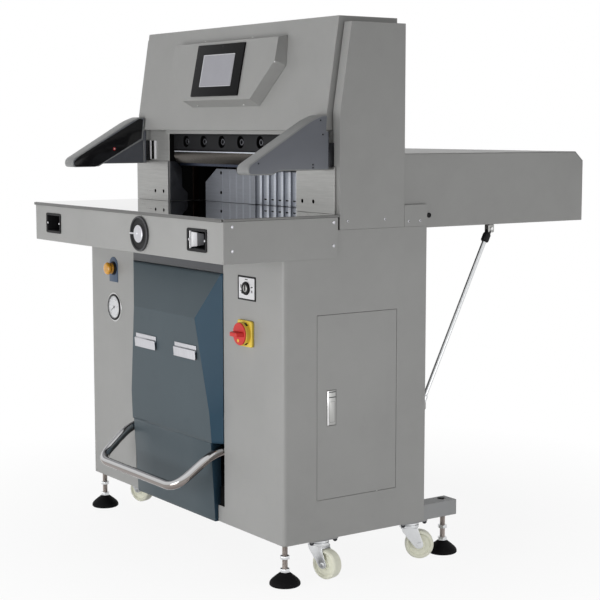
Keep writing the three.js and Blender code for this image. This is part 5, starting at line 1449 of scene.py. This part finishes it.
class CUTTER_OT_throat(CutterStep, bpy.types.Operator):
    """Makes the face plates with their holes, and what lines the throat, painted shade included."""

    bl_idname = "cutter.throat"
    bl_label = "Face plates and throat"

    def execute(self, context):
        radius = mm(sizes().hole)
        near, far, height, depth = 352, 400, 942.5, 5.2
        for flank, side in FLANKS:
            low, high = span(f"face_plate_{flank}")
            centres = sorted([side * near, side * far])
            across = [low[0], side * (near + far) / 2, high[0]]
            holes = {(i, 0): (x, height) for i, x in enumerate(centres)}
            # The holes' bores take the near-black painted shade.
            form = Form().pierced(across, [low[2], high[2]], low[1], high[1], holes, radius, depth)
            form.build(f"ground_plate_{flank}", finishes("plate", "pit"), slot="ground_steel",
                       stands_for=(f"face_plate_{flank}",), edge=0.8)
        self.line_throat()
        self.mark_gauge(radius)
        return {"FINISHED"}

    def line_throat(self):
        """Near-black liners of painted shade on the throat walls, bronze guides, pale strips of
        painted reflection and a dark strip of painted shadow on the columns, the cheek plate, a
        ledge.
        """
        column = span("column_left")
        front, back, floor = column[0][1], column[1][1], span("work_table")[1][2]
        form = Form()
        for _, side in FLANKS:
            inner = side * span("column_right")[0][0]
            # The liners paint the throat's shade in near-black.
            liner = between((front + 1, floor + 0.5), (back - 1, floor + 203.5))
            form.plate(liner, inner - side * 0.1, inner - side * 1.1, "x", 0.3, 0)
            for y, foot in ((375, floor + 116), (416, floor + 2)):
                guide = between((y, foot), (y + 20, floor + 203))
                form.plate(guide, inner - side * 1.0, inner - side * 2.6, "x", 0.4, 1)
            # Pale strips paint the bright reflection of chrome strips; the dark strip between
            # paints shadow on the column.
            for centre, width, finish in ((433, 12, 2), (420, 13, 0), (405, 12, 2)):
                strip = rectangle(width, 54, 0.5, (side * centre, 1062))
                form.plate(strip, front - 2.2, front - 0.2, "y", 0.3, finish)
        form.build("throat_shade_guides_strips", finishes("pit", "bronze", "strip"), slot="dark_steel")
        inner = column[1][0]
        cheek = np.array([(338.4, floor + 1), (396.5, floor + 1), (396.5, 938.4), (378.4, 954.5),
                          (377.6, 1011), (357, 1030), (338.4, 1030)])
        Form().plate(soft_path(cheek, 5, 4, closed=True), inner + 1.3, inner + 4.3, "x", 0.6).build(
            "cheek_plate", finishes("cheek"), slot="dark_steel")
        lip = sheet_outline([(319.6, 1127), (319.4, 1122.4), (324.5, 1118.5), (324.5, 1109.2),
                             (328, 1109.2)], 1.5)
        Form().plate(lip, -322, 322, "x", 0.3).build(
            "hood_ledge", finishes("panel"), slot="panel_paint")

    def mark_gauge(self, radius):
        """Back gauge marks in painted light: near-black discs and slots of painted shade for holes,
        faint painted-highlight bands on the plain part, bright painted-highlight lands and paler
        recesses on the comb part.
        """
        low, high = span("back_gauge")
        form = Form()
        hole = [(radius, -0.05), (radius, 0.3), (radius - 0.4, 0.4)]
        # Near-black discs standing for open holes: painted shade.
        for z in (998, 942):
            form.skin(turned(hole, (-190.8, low[1], z), FRONT, 28), 0)
        for x in (-185.7, -145.7, -109.6, -74.8, -40):
            band = rectangle(8, 88, 0.5, (x, 961))
            form.plate(band, low[1] - 0.15, low[1] + 0.1, "y", 0.05, 2)
        pitch = 34.8
        for x in np.arange(8) * pitch + 15:
            if x < high[0]:
                land = rectangle(10.4, 92, 0.5, (x, 962.3))
                form.plate(land, low[1] - 0.4, low[1] + 0.1, "y", 0.15, 3)
        for x in np.arange(7) * pitch + 32.4:
            # Each recess is lightened as painted light, with a near-black slot of painted shade
            # below it.
            form.plate(rectangle(23, 88, 1, (x, 962)), low[1] + 5.7, low[1] + 6.1, "y", 0.1, 1)
            form.plate(rectangle(17, 3.4, 1, (x, 931)), low[1] + 5.4, low[1] + 5.9, "y", 0.1, 0)
        form.build("gauge_marks", finishes("pit", "recess", "band", "edge"), "back_gauge",
                   "ground_steel")


class CUTTER_OT_stays(CutterStep, bpy.types.Operator):
    """Makes the two stays under the rear table."""

    bl_idname = "cutter.stays"
    bl_label = "Rear stays"

    def execute(self, context):
        wall = span("cabinet_rear_panel")[1][1]
        for flank, _ in FLANKS:
            low, high = span(f"rear_stay_{flank}")
            x = (low[0] + high[0]) / 2
            foot = np.array([x, wall + 12.3, low[2] + 12])
            top = np.array([x, high[1] - 12, high[2] - 12])
            along = (top - foot) / np.linalg.norm(top - foot)
            form = Form().bar(foot, top - along * 20, 6.0, 0)
            boot = [(6.2, 0), (10.6, 3), (10.8, 22), (8.4, 25), (8.4, 34), (5.4, 37)]
            form.turn(boot, top - along * 40, along, 1, 32, 1.5)
            form.turn([(7.5, 0), (8.6, 2), (8.6, 20), (6.2, 24)], foot + along * 6, along, 0, 32)
            for spot in (foot, top):
                form.plate(rectangle(20, 22, 4, spot[1:]), x - 8, x + 8, "x", 1.0, 3)
                form.bar(spot - [11.5, 0, 0], spot + [11.5, 0, 0], 4.2, 2)
            form.build(f"tube_stay_{flank}", finishes("zinc", "black", "chrome", "rail"),
                       slot="zinc_steel", stands_for=(f"rear_stay_{flank}",))
        return {"FINISHED"}


class CUTTER_OT_trim(CutterStep, bpy.types.Operator):
    """Adds the panel screws, a black button on each side, the rail plugs and caster bolts."""

    bl_idname = "cutter.trim"
    bl_label = "Trim"

    def execute(self, context):
        radius = mm(sizes().screw)
        outer = span("side_cover_right")[1][0]
        table = span("table_apron")[1][0]
        button = [(6.5, 0), (6.5, 1.5), (5.4, 2.6), (3, 2.8), (2.6, 1.2)]
        cap = [(10, 0), (10, 1.5), (8, 2.4)]
        form, plugs = Form(), Form()
        for _, side in FLANKS:
            for y, z in ((24, 896), (24, 839), (318, 896), (318, 839)):
                form.screw((side * table, y, z), (side, 0, 0), radius)
            for y, z in ((363, 898), (479, 899), (556, 891), (593, 891)):
                # Their black sockets are painted shade.
                form.screw((side * outer, y, z), (side, 0, 0), radius * 0.8, 0, 1)
            form.turn(button, (side * 497.1, 628, 903.5), (side, 0, 0), 1, 32, 0.4)
            plugs.turn(cap, (side * 470, 702, 145), (0, 0, 1), 0, 28, 0.5)
        form.build("panel_screws", finishes("satin", "black"), slot="chrome")
        plugs.build("rail_plugs", finishes("black"), slot="black_plastic")
        self.bolt_casters()
        return {"FINISHED"}

    def bolt_casters(self):
        """Four dark bolts round each caster, up into the pad above it."""
        bolts = Form()
        for place in PLACES:
            pin, _ = joint_place(f"caster_swivel_{place}")
            top = span(f"caster_fork_{place}")[1][2]
            for x, y in ((-20, -36), (20, -36), (20, 36), (-20, 36)):
                spot = np.array([pin[0] + x, pin[1] + y, top - 4.2])
                bolts.nut(spot, (0, 0, 1), 11, 4.4)
                bolts.bar(spot - [0, 0, 2.3], spot + [0, 0, 0.2], 3.8)
        bolts.build("caster_bolts", finishes("dark"), slot="dark_steel")


STEPS = (
    CUTTER_OT_stage, CUTTER_OT_solids, CUTTER_OT_feet, CUTTER_OT_casters, CUTTER_OT_front_cover,
    CUTTER_OT_pedal, CUTTER_OT_door, CUTTER_OT_switches, CUTTER_OT_hand_wheel,
    CUTTER_OT_controls, CUTTER_OT_arms, CUTTER_OT_console, CUTTER_OT_knife, CUTTER_OT_throat,
    CUTTER_OT_stays, CUTTER_OT_trim,
)


class CUTTER_PT_panel(bpy.types.Panel):
    """Lists the settings and the steps in the sidebar."""

    bl_idname = "CUTTER_PT_panel"
    bl_label = "Paper cutter"
    bl_space_type = "VIEW_3D"
    bl_region_type = "UI"
    bl_category = "Cutter"

    def draw(self, context):
        for group in (context.scene.cutter_colours, context.scene.cutter_sizes):
            for name in group.__annotations__:
                self.layout.prop(group, name)
        for step in STEPS:
            self.layout.operator(step.bl_idname)


CLASSES = (CutterColours, CutterSizes, *STEPS, CUTTER_PT_panel)


def register():
    for cls in CLASSES:
        bpy.utils.register_class(cls)
    bpy.types.Scene.cutter_colours = bpy.props.PointerProperty(type=CutterColours)
    bpy.types.Scene.cutter_sizes = bpy.props.PointerProperty(type=CutterSizes)


def unregister():
    del bpy.types.Scene.cutter_colours
    del bpy.types.Scene.cutter_sizes
    for cls in reversed(CLASSES):
        bpy.utils.unregister_class(cls)


def main():
    register()
    for step in STEPS:
        group, name = step.bl_idname.split(".")
        getattr(getattr(bpy.ops, group), name)()


if __name__ == "__main__":
    main()
